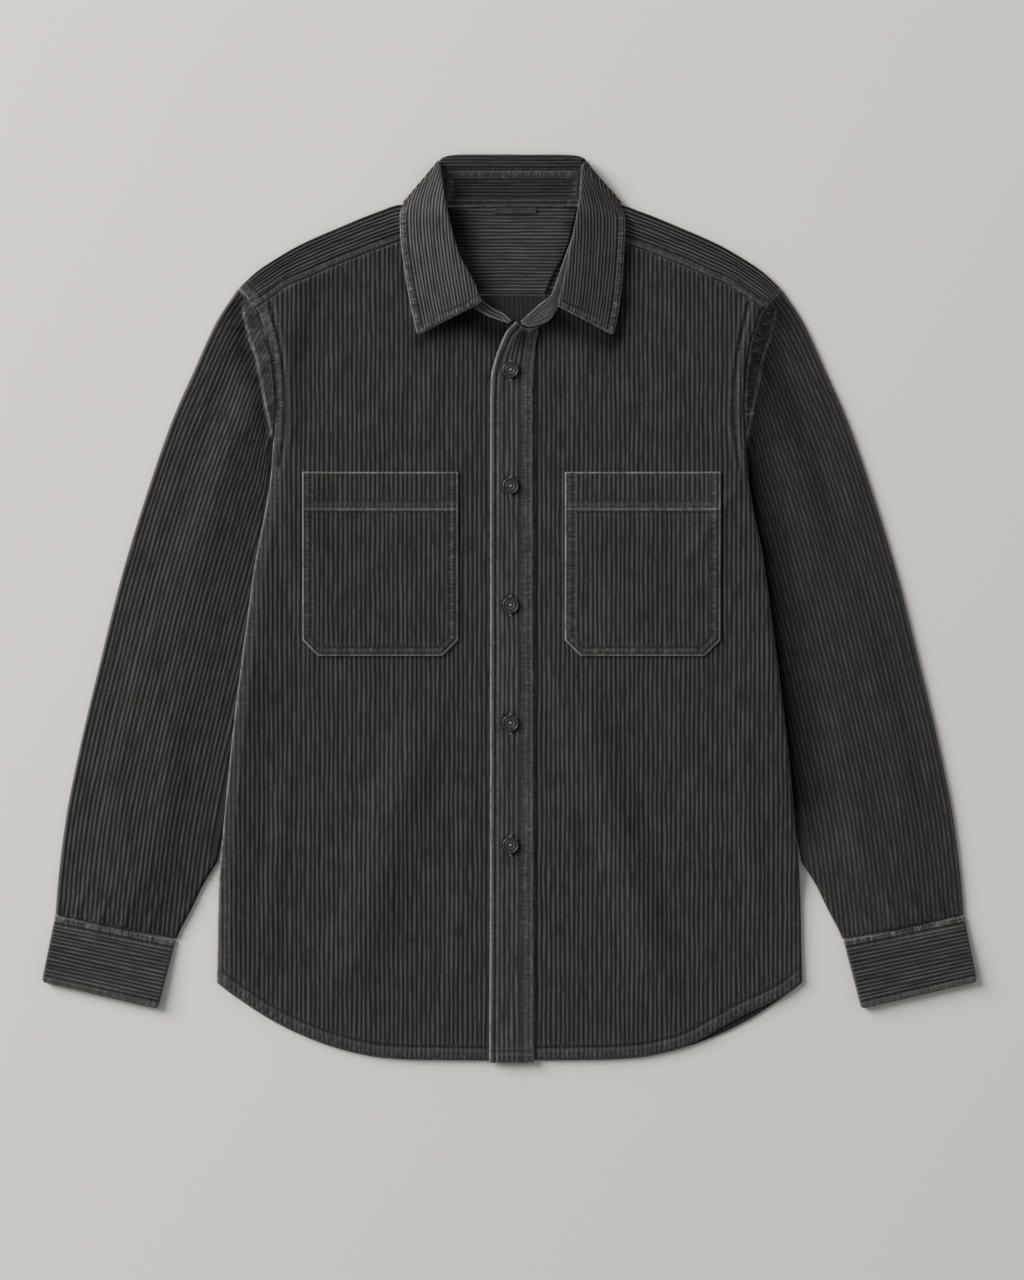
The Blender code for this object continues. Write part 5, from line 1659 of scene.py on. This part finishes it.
@dataclass
class Button:
    """Four-hole button with a raised rim."""

    diameter: float
    profile: Table = (
        # share of radius, height
        (0.0, 0.0), (0.70, 0.0), (0.84, 0.2), (0.93, 0.7), (0.96, 1.3), (0.94, 1.8), (0.89, 2.15),
        (0.84, 2.2), (0.79, 2.0), (0.74, 1.3), (0.70, 0.95), (0.66, 1.0), (0.62, 1.4), (0.57, 1.62),
        (0.51, 1.6), (0.44, 1.3), (0.3, 1.1), (0.0, 1.05),
    )
    hole_at: float = 1.15
    hole_radius: float = 0.62
    sides: int = 48

    def mesh(self, name: str) -> bpy.types.Mesh:
        """Turns the profile and drills the four holes."""
        mesh = bmesh.new()
        radius = self.diameter / 2
        verts = [mesh.verts.new((share * radius * MM, 0, z * MM)) for share, z in self.profile]
        edges = [mesh.edges.new(pair) for pair in zip(verts, verts[1:])]
        bmesh.ops.spin(mesh, geom=verts + edges, cent=(0, 0, 0), axis=(0, 0, 1), angle=math.tau,
                       steps=self.sides, use_merge=True)
        bmesh.ops.remove_doubles(mesh, verts=mesh.verts, dist=1e-6)
        bmesh.ops.recalc_face_normals(mesh, faces=mesh.faces)
        blank = placed(name + "_blank", finished(mesh, name))
        drill_mesh, size = bmesh.new(), self.hole_radius * MM
        for x in (-self.hole_at, self.hole_at):
            for y in (-self.hole_at, self.hole_at):
                made = bmesh.ops.create_cone(drill_mesh, cap_ends=True, segments=16, depth=8 * MM,
                                             radius1=size, radius2=size)
                bmesh.ops.translate(drill_mesh, verts=made["verts"], vec=(x * MM, y * MM, 0))
        drill = placed(name + "_drill", finished(drill_mesh, name + "_drill"))
        cut = blank.modifiers.new("holes", "BOOLEAN")
        cut.operation, cut.object, cut.solver = "DIFFERENCE", drill, "EXACT"
        bpy.context.view_layer.update()
        drilled = bpy.data.meshes.new_from_object(blank.evaluated_get(bpy.context.evaluated_depsgraph_get()))
        drilled.name = name
        for item in (blank, drill):
            bpy.data.objects.remove(item)
        drilled.polygons.foreach_set("use_smooth", [True] * len(drilled.polygons))
        drilled.set_sharp_from_angle(angle=math.radians(50))
        return drilled

    def thread(self, name: str) -> bpy.types.Mesh:
        """Two bars of thread between the holes."""
        mesh = bmesh.new()
        for x in (-self.hole_at, self.hole_at):
            for shift in (-0.28, 0.28):
                at = x * 0.5 + shift
                bar(mesh, (at, -self.hole_at, 0.45), (at, self.hole_at, 0.45), 0.95, 0.3)
        return finished(mesh, name)


def bar(mesh: bmesh.types.BMesh, a: tuple, b: tuple, rise: float, radius: float) -> None:
    """Adds a bowed thread from a to b, six-sided, in mm."""
    rings = []
    for share in np.linspace(0, 1, 7):
        lift = np.array([0, 0, rise * math.sin(math.pi * share) ** 0.5])
        centre = mix(np.array(a), np.array(b), share) + lift
        way = np.array(b[:2]) - np.array(a[:2])
        side = np.array([-way[1], way[0], 0]) / np.linalg.norm(way)
        rings.append([mesh.verts.new(tuple((centre + radius * (math.cos(t) * side + np.array(
            [0, 0, math.sin(t)]))) * MM)) for t in np.arange(6) * math.tau / 6])
    for low, high in zip(rings, rings[1:]):
        for i in range(6):
            mesh.faces.new((low[i], low[(i + 1) % 6], high[(i + 1) % 6], high[i]))
    mesh.faces.new(rings[0][::-1])
    mesh.faces.new(rings[-1])
    bmesh.ops.recalc_face_normals(mesh, faces=mesh.faces)


@dataclass
class Buttonhole:
    """Satin-stitched slot that runs up the band beneath a button."""

    length: float = 18.8
    width: float = 2.0
    pitch: float = 0.75
    radius: float = 0.34

    def mesh(self, name: str) -> bpy.types.Mesh:
        """Short threads across both sides of the slot and round its ends."""
        mesh = bmesh.new()
        half, reach = self.width / 2, self.length / 2
        for y in np.arange(-reach + half, reach - half, self.pitch):
            for side in (-1, 1):
                bar(mesh, (side * 0.35, y, -0.1), (side * half, y, -0.25), 0.3, self.radius)
        for end in (-1, 1):
            for angle in np.linspace(0, math.pi, 8):
                out = np.array([math.cos(angle), end * math.sin(angle)])
                middle = np.array([0, end * (reach - half)])
                a, b = middle + out * 0.35, middle + out * half
                bar(mesh, (*a, -0.1), (*b, -0.25), 0.3, self.radius)
        return finished(mesh, name)


# Collar


@dataclass
class Collar:
    """Pointed collar: a fall with two leaves, folded under at the back, on a stand."""

    right_leaf: Table = (
        # row, roll x, roll y, outer x, outer y, underside height at the roll
        (0, -24.0, 270.5, -81.5, 241.4, 6.9), (1, -28.6, 283.0, -86.6, 263.0, 7.6),
        (2, -36.0, 298.0, -90.4, 283.0, 8.2), (3, -44.0, 313.0, -93.6, 304.0, 8.7),
        (4, -50.4, 334.0, -96.2, 325.0, 9.0), (5, -54.6, 352.0, -97.0, 339.8, 9.0),
        (6, -58.0, 371.0, -97.2, 348.0, 9.0), (7, -60.5, 391.0, -96.0, 354.6, 8.6),
    )
    left_leaf: Table = (
        # row, roll x, roll y, outer x, outer y, underside height at the roll
        (0, 42.5, 266.7, 92.1, 241.4, 7.4), (1, 45.5, 282.0, 96.6, 263.0, 7.9),
        (2, 49.2, 298.0, 99.2, 284.0, 8.5), (3, 52.2, 315.0, 100.8, 304.0, 8.8),
        (4, 56.4, 334.0, 102.0, 325.0, 9.0), (5, 60.0, 353.0, 102.4, 340.0, 9.0),
        (6, 62.6, 372.0, 101.8, 348.5, 9.0), (7, 63.4, 391.0, 99.0, 355.0, 8.6),
    )
    turn: dict = field(default_factory=lambda: {
        # seam, roll, outer corner
        Side.RIGHT: ((-59.6, 391.3), (-61.9, 395.8), (-93.6, 358.8)),
        Side.LEFT: ((62.4, 391.3), (65.8, 395.4), (97.8, 359.4)),
    })
    turn_heights: tuple[float, float] = (10.4, 1.9)
    # Tones of the right leaf, the back and the left leaf, as painted light: the right leaf, which faces the
    # light, painted paler than the left, and the back painted darker as shaded.
    piece_tone: tuple[float, float, float] = (1.68, 0.80, 1.13)
    loft: float = 6.0
    edge_loft: float = 4.6
    loft_rows: tuple[float, float] = (4.8, 7.0)
    tip_radius: float = 3.4
    rib_contrast: tuple[float, float] = (1.35, 1.15)
    pitch: float = 2.85
    wall: float = 1.8
    top_y: float = 402.7
    seam_y: float = 390.6
    hem_y: float = 360.2
    fold_middle: float = 3.0
    fold_half: float = 64.0
    spread: float = 1.45
    columns: int = 124
    strip: int = 25
    stitch_in: float = 6.6
    flat: tuple[float, float] = (0.470, 0.060)
    area: float = 0.021
    stand_right: Table = (
        # lower x, lower y, upper x, upper y, lower height, upper height
        (-0.6, 252.6, 2.2, 254.9, 4.8, 4.8), (-9.0, 255.3, -5.5, 261.6, 4.8, 4.8),
        (-19.0, 258.9, -15.6, 266.8, 4.8, 4.9), (-33.0, 267.5, -25.4, 275.0, 4.8, 5.1),
        (-50.0, 282.0, -36.4, 296.5, 4.8, 5.9), (-64.0, 304.0, -46.4, 316.0, 4.8, 6.6),
        (-74.0, 326.0, -52.6, 337.0, 4.8, 6.9), (-76.0, 345.0, -57.4, 358.0, 4.8, 6.9),
        (-70.0, 356.0, -60.2, 378.0, 4.8, 6.7),
    )
    stand_left: Table = (
        # lower x, lower y, upper x, upper y, lower height, upper height
        (11.0, 252.2, 10.2, 254.4, 4.9, 4.9), (17.3, 249.3, 17.6, 261.6, 4.8, 4.9),
        (26.1, 250.9, 27.9, 270.6, 4.8, 5.0), (35.0, 255.0, 36.0, 277.0, 4.8, 5.2),
        (44.0, 268.0, 42.2, 292.0, 4.8, 5.9), (60.0, 298.0, 51.0, 317.0, 4.8, 6.6),
        (74.0, 324.0, 57.6, 337.0, 4.8, 6.9), (77.0, 345.0, 62.0, 358.0, 4.8, 6.9),
        (71.5, 356.0, 63.6, 378.0, 4.8, 6.7),
    )
    stand_side: dict = field(default_factory=lambda: {
        # seam point, top point
        Side.RIGHT: ((-72.0, 357.4), (-62.0, 387.0)),
        Side.LEFT: ((73.5, 357.4), (64.6, 387.0)),
    })
    stand_back: tuple[tuple[float, ...], float, float] = (
        # x of each section, lower y, upper y
        (-60.0, -36.0, -12.0, 15.0, 39.0, 62.0), 355.9, 391.5,
    )
    stand_wall: float = 1.3
    stand_wales: int = 8
    # Tones of the stand's front ends and of its part behind the neck, as painted light: the ends painted pale
    # and the part inside the neck painted dark as shaded.
    stand_painted_tones: tuple[float, float] = (1.75, 0.73)
    stand_flat: tuple[float, float] = (0.430, 0.036)
    stand_area: float = 0.0125
    inner_shares: tuple[float, ...] = (0.02, 0.35, 0.7, 1.0)

    def leaf(self, side: Side) -> Table:
        """The table of one leaf."""
        return self.right_leaf if side is Side.RIGHT else self.left_leaf

    def leaf_sections(self, side: Side) -> tuple[list[Array], list[Array]]:
        """Outer and inner lines of a leaf, from its point to the shoulder."""
        table = self.leaf(side)
        share, inner_share = np.linspace(0, 1, self.columns), np.array(self.inner_shares)
        tip = np.array([table[0][3], table[0][4]])
        outer, inner = [], []
        for row in np.unique(np.concatenate([[0, 0.01, 0.025, 0.045, 0.07, 0.1, 0.14, 0.2],
                                             np.linspace(0.27, 7, 52)])):
            roll = np.array([curve(table, row, 1), curve(table, row, 2)])
            hem = np.array([curve(table, row, 3), curve(table, row, 4)])
            past_tip = np.linalg.norm(hem - tip) / self.tip_radius
            inset = self.tip_radius * (1 - rounded(past_tip))
            hem = hem + (roll - hem) / np.linalg.norm(roll - hem) * inset
            settled = 1 - smooth((row - self.loft_rows[0]) / (self.loft_rows[1] - self.loft_rows[0]))
            under = float(curve(table, row, 5))
            low = ON_FRONT + 0.3
            length = np.linalg.norm(hem - roll)
            plan = mix(roll, hem, share[:, None])
            distance = share * length
            under += self.loft * settled
            edge = low + self.edge_loft * settled
            crest = under + self.wall + 0.5
            z = mix(crest, edge + self.wall, smooth(share) * 0.55 + share * 0.45)
            rounding = rounded(distance / 3.2)
            z = under + 0.3 * self.wall + (z - under - 0.3 * self.wall) * rounding
            lip = np.linspace(1, 0, self.strip)[:-1]
            lip_plan = roll[None, :] + ((hem - roll) / length)[None, :] * (0.8 * lip[:, None])
            lip_z = under + 0.3 * self.wall * (1 - lip)
            outer.append(np.column_stack([np.vstack([lip_plan, plan]), np.concatenate([lip_z, z])]))
            inner_plan = mix(roll, hem, inner_share[:, None])
            inner.append(np.column_stack([inner_plan, mix(under, edge, inner_share)]))
        return outer, inner

    def turn_sections(self, side: Side) -> tuple[list[Array], list[Array]]:
        """Lines of the fold at the shoulder, from above it to below it."""
        seam, roll, corner = (np.array(p) for p in self.turn[side])
        high, low = self.turn_heights
        middle, half = (high + low) / 2, (high - low) / 2
        out = np.array([side.value * 0.77, 0.64])
        share, inner_share = np.linspace(0, 1, self.columns), np.array(self.inner_shares)
        strip = np.linspace(0, 1, self.strip)[:-1]
        outer, inner = [], []
        for angle in np.linspace(0.1, math.pi - 0.1, 9):
            bulge = out * 1.6 * math.sin(angle)
            drop = math.cos(angle)
            plan = mix(roll, corner, share[:, None]) + bulge
            depth = mix(1.0, 0.42, share)
            z = mix(middle, 3.4, share) + half * drop * depth
            strip_plan = mix(seam, roll + bulge, strip[:, None])
            strip_z = mix(mix(4.9, 7.6, (1 + drop) / 2), z[0], strip)
            outer.append(np.column_stack([np.vstack([strip_plan, plan]), np.concatenate([strip_z, z])]))
            inner_plan = mix(roll, corner, inner_share[:, None]) - out * self.wall
            inner.append(np.column_stack([inner_plan, mix(middle, 3.2, inner_share) + drop]))
        return outer, inner

    def back_sections(self) -> tuple[list[Array], list[Array]]:
        """Lines behind the neck: a strip on top, the fold, and the band beneath."""
        share = np.linspace(0, 1, self.columns)
        strip = np.linspace(0, 1, self.strip)[:-1]
        outer, inner = [], []
        for x in np.linspace(-60.5, 66.5, 48):
            bend = abs(x - self.fold_middle) / self.fold_half
            fold = self.top_y - 0.3 - 3.7 * bend**12 + 0.3 * float(noise(np.array(x / 14), np.array(0.5), 81))
            strip_y = mix(self.seam_y, fold, strip)
            strip_z = 4.6 - 0.4 * strip**2 - 0.9 * smooth((strip - 0.7) / 0.3)
            under_y = mix(fold, self.hem_y, smooth(share) * 0.2 + share * 0.8)
            under_z = 3.3 * np.clip(1 - share / 0.05, 0, 1) ** 1.5
            xs = x * mix(1.0, self.spread, share)
            seam_x = min(max(x, self.turn[Side.RIGHT][0][0]), self.turn[Side.LEFT][0][0])
            outer.append(np.column_stack([np.concatenate([mix(seam_x, x, strip), xs]),
                                          np.concatenate([strip_y, under_y]),
                                          np.concatenate([strip_z, under_z])]))
            inner_share = np.array([0.06, *self.inner_shares[1:]])
            inner.append(np.column_stack([x * mix(1.0, self.spread, inner_share),
                                          mix(fold, self.hem_y, inner_share), np.full(4, self.wall)]))
        return outer, inner

    def from_edge(self, x: Array, y: Array) -> Array:
        """Distance across the ribs from a leaf's outer edge, for its rows of points."""
        edge = np.stack([x[:, -1], y[:, -1]], axis=1)
        roll = np.stack([x[:, self.strip], y[:, self.strip]], axis=1)
        reach, last = 7, len(edge) - 1
        ahead = edge[np.minimum(np.arange(last + 1) + reach, last)]
        way = ahead - edge[np.maximum(np.arange(last + 1) - reach, 0)]
        padded = np.pad(way / np.linalg.norm(way, axis=1)[:, None], ((reach, reach), (0, 0)), mode="edge")
        way = np.stack([np.convolve(padded[:, c], np.ones(2 * reach + 1), "valid") for c in (0, 1)], axis=1)
        way /= np.linalg.norm(way, axis=1)[:, None]
        across = (roll - edge) / np.linalg.norm(roll - edge, axis=1)[:, None]
        lean = np.abs(across[:, 0] * way[:, 1] - across[:, 1] * way[:, 0])
        return np.hypot(x - edge[:, :1], y - edge[:, 1:]) * lean[:, None]

    def fall(self, room: Workroom) -> None:
        """Makes the fall in one piece from point to point."""
        parts = [self.leaf_sections(Side.RIGHT), self.turn_sections(Side.RIGHT), self.back_sections()]
        for part in (self.turn_sections(Side.LEFT), self.leaf_sections(Side.LEFT)):
            parts.append((part[0][::-1], part[1][::-1]))
        outer, inner = (np.array([line for part in parts for line in part[i]]) for i in (0, 1))
        x, y, z = outer[..., 0], outer[..., 1], outer[..., 2]
        behind = len(parts[0][0]) + len(parts[1][0])
        back = slice(behind - 5, behind + len(parts[2][0]) + 5)
        leaves = slice(0, back.start), slice(back.stop, None)
        across = y - self.seam_y + 0.6
        for rows in leaves:
            across[rows] = self.from_edge(x[rows], y[rows])
        s = Surface(x, y, z, across / self.pitch + 0.5, y.copy())
        s.run[back] = x[back]
        for rows, contrast in zip(leaves, self.rib_contrast):
            s.keep[rows] *= contrast
        s.keep[:, :self.strip // 2] = 0.85
        seams = []
        for side in Side:
            table, sign = self.leaf(side), side.value
            outline = [(float(curve(table, row, 3)), float(curve(table, row, 4)))
                       for row in np.linspace(0, 7, 29)[::-1]]
            outline.append(table[0][1:3])
            seams += [
                edge(outline, 2.0, 1.3, 0.15, 0.9, 0.8),
                stitched(outline, -sign * self.stitch_in, 0.9, 0.3, 0.3, 0.2, 0.6),
                welt(outline, -sign * 3.3, 3.2, 0.1, 0.6, 0.3, 0.2),
                edge([row[1:3] for row in table], 0.8, 0.0, 0.1, 0.3, 0.4),
            ]
        for rows in leaves:
            s.sew_rows(rows, seams)
        s.z[:, self.strip:] += 0.25 * noise(x[:, self.strip:] / 16, y[:, self.strip:] / 24, 82)
        # Painted light and shade on the leaves and the back.
        for rows, piece_tone in zip((leaves[0], back, leaves[1]), self.piece_tone):
            s.tone[rows] *= piece_tone
        s.raise_wales(0.7, 0.13)
        s.z = np.maximum(s.z, 0.0)
        under = Surface(inner[..., 0], inner[..., 1], inner[..., 2], np.zeros(inner.shape[:2]),
                        inner[..., 1])
        cloth = ClothMesh("collar_leaves")
        cloth.shell(s, under)
        room.lay(cloth, "collar_fall", self.flat, self.area, seams)

    def stand(self, room: Workroom) -> None:
        """Makes the stand: its inside shows behind the neck and its ends at the front."""
        xs, low_y, high_y = self.stand_back
        base = BACK_WALL + GAP

        def front_end(table: Table) -> list[tuple[Array, Array, float]]:
            """Sections of one side, from its front end to the shoulder."""
            return [(np.array([*row[:2], row[4]]), np.array([*row[2:4], row[5]]), 1.0) for row in table]

        def turn(side: Side) -> tuple[Array, Array, float]:
            """Section where the stand turns behind the neck."""
            low, high = (np.array([*p, 3.9]) for p in self.stand_side[side])
            return low, high, 0.0

        sections = [*front_end(self.stand_right), turn(Side.RIGHT)]
        sections += [(np.array([x, low_y, base]), np.array([x, high_y, base + 1.0]), 1.0) for x in xs]
        sections += [turn(Side.LEFT), *front_end(self.stand_left)[::-1]]
        share = np.unique(np.concatenate([np.linspace(0, 1, self.stand_wales * PER_WALE + 1), [0.01, 0.99]]))
        stations = np.arange(len(sections), dtype=float)
        fine = np.linspace(0, len(sections) - 1, 190)
        low, high = (
            np.stack([curve(list(zip(stations, [s[i][c] for s in sections])), fine)
                      for c in range(3)], axis=1)
            for i in (0, 1))
        flat = np.interp(fine, stations, [s[2] for s in sections])
        points = low[:, None, :] + (high - low)[:, None, :] * share[None, :, None]
        x, y = points[..., 0], points[..., 1]
        wale = (share[None, :] - 1) * np.linalg.norm(high - low, axis=1)[:, None] / self.pitch
        lip = rounded(np.minimum(share, 1 - share) / 0.05)
        z = points[..., 2] + self.stand_wall * (0.25 + 0.75 * lip[None, :])
        run = np.broadcast_to(fine[:, None] * 18.0, x.shape)
        s = Surface(x, y, z, wale, run)
        s.keep = np.broadcast_to(lip[None, :], x.shape) * (0.3 + 0.7 * flat[:, None])
        # Painted light and shade: pale front ends, dark part behind the neck.
        s.tone *= mix(self.stand_painted_tones[1], self.stand_painted_tones[0], smooth((320.0 - y) / 30.0))
        line_low, line_high = ([(float(a), float(b)) for a, b in line[::3, :2]] for line in (low, high))
        seams = [
            stitched(line_low, 3.6, 1.0, 0.45, 0.45, 0.6, 0.55),
            stitched(line_high, -2.6, 0.9, 0.35, 0.45, 0.5, 0.4),
            edge(line_high, 1.2, 0.1, 0.15, 0.7, 0.6),
            edge(line_low, 1.6, 0.3, 0.3, 1.0, 0.6),
            welt(line_high, -6.5, 4.0, 0.2, 0.5, 0.5, 0.6),
        ]
        s.sew(*seams).shade(NECK_SHADE).raise_wales(0.5, 0.12)
        picked = [0, 16, 32, -1]
        under = Surface(x[:, picked], y[:, picked], points[:, picked, 2], np.zeros((len(fine), 4)),
                        run[:, :4])
        cloth = ClothMesh("collar_band")
        cloth.shell(s, under)
        room.lay(cloth, "collar_stand", self.stand_flat, self.stand_area,
                 seams[:2])

    def build(self, room: Workroom) -> None:
        """Makes the stand and the fall."""
        self.stand(room)
        self.fall(room)


# Studio


@dataclass
class Studio:
    """Pale table, soft light from the upper left and a camera straight above."""

    middle: tuple[float, float] = (2.2, -27.9)
    frame_height: float = 1134.1
    distance: float = 2600.0
    plane: float = 5.0
    sensor: float = 24.0
    table_size: float = 8.0
    key: tuple[float, float, float] = (-7.6, 4.7, 4.5)
    key_size: float = 5.6
    key_power: float = 1314.0
    sky: float = 0.30

    def build(self) -> None:
        """Makes the table, camera, light and world."""
        data = bpy.data.meshes.new("table_top")
        half = self.table_size / 2
        data.from_pydata([(-half, -half, 0), (half, -half, 0), (half, half, 0), (-half, half, 0)], [],
                         [(0, 1, 2, 3)])
        data.materials.append(TableTop().material())
        table = placed("table_top", data, (0.0, 0.0, -0.15 * MM))
        table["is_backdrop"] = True
        lens = bpy.data.cameras.new("above")
        lens.sensor_fit, lens.sensor_height = "VERTICAL", self.sensor
        lens.lens = self.sensor * self.distance / self.frame_height
        lens.clip_end = 20.0
        x, y, z = (c * MM for c in (*self.middle, self.distance + self.plane))
        bpy.context.scene.camera = placed("above", lens, (x, y, z))
        lamp = bpy.data.lights.new("key", "AREA")
        lamp.size, lamp.energy = self.key_size, self.key_power
        placed("key", lamp, self.key, (-Vector(self.key)).to_track_quat("-Z", "Y").to_euler())
        world = bpy.data.worlds.new("room")
        world.use_nodes = True
        background = world.node_tree.nodes["Background"]
        background.inputs["Color"].default_value = (1.0, 1.0, 1.0, 1.0)
        background.inputs["Strength"].default_value = self.sky
        bpy.context.scene.world = world
        bpy.context.scene.view_settings.view_transform = "Standard"


def corners(box: Sequence[Vector]) -> list[list[float]]:
    """A box as plain lists of numbers."""
    return [[float(c) for c in corner] for corner in box]


def main() -> None:
    """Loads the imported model, makes every piece on it and lights the table."""
    logging.basicConfig(level=logging.INFO, format="%(name)s %(message)s")
    for item in list(bpy.data.objects):
        bpy.data.objects.remove(item, do_unlink=True)
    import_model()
    solid_box = corners(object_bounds())
    Studio().build()
    room = Workroom.opened()
    shape = BodyShape()
    Body(shape).build(room)
    Yoke(shape).build(room)
    Sleeve(shape, Side.RIGHT).build(room)
    Sleeve(shape, Side.LEFT).build(room)
    Pocket(shape, Side.RIGHT, -114.4).build(room)
    Pocket(shape, Side.LEFT, 117.9).build(room)
    Placket(shape).build(room)
    Collar().build(room)
    {"solid": solid_box, "visual": corners(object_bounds())}


if __name__ == "__main__":
    main()
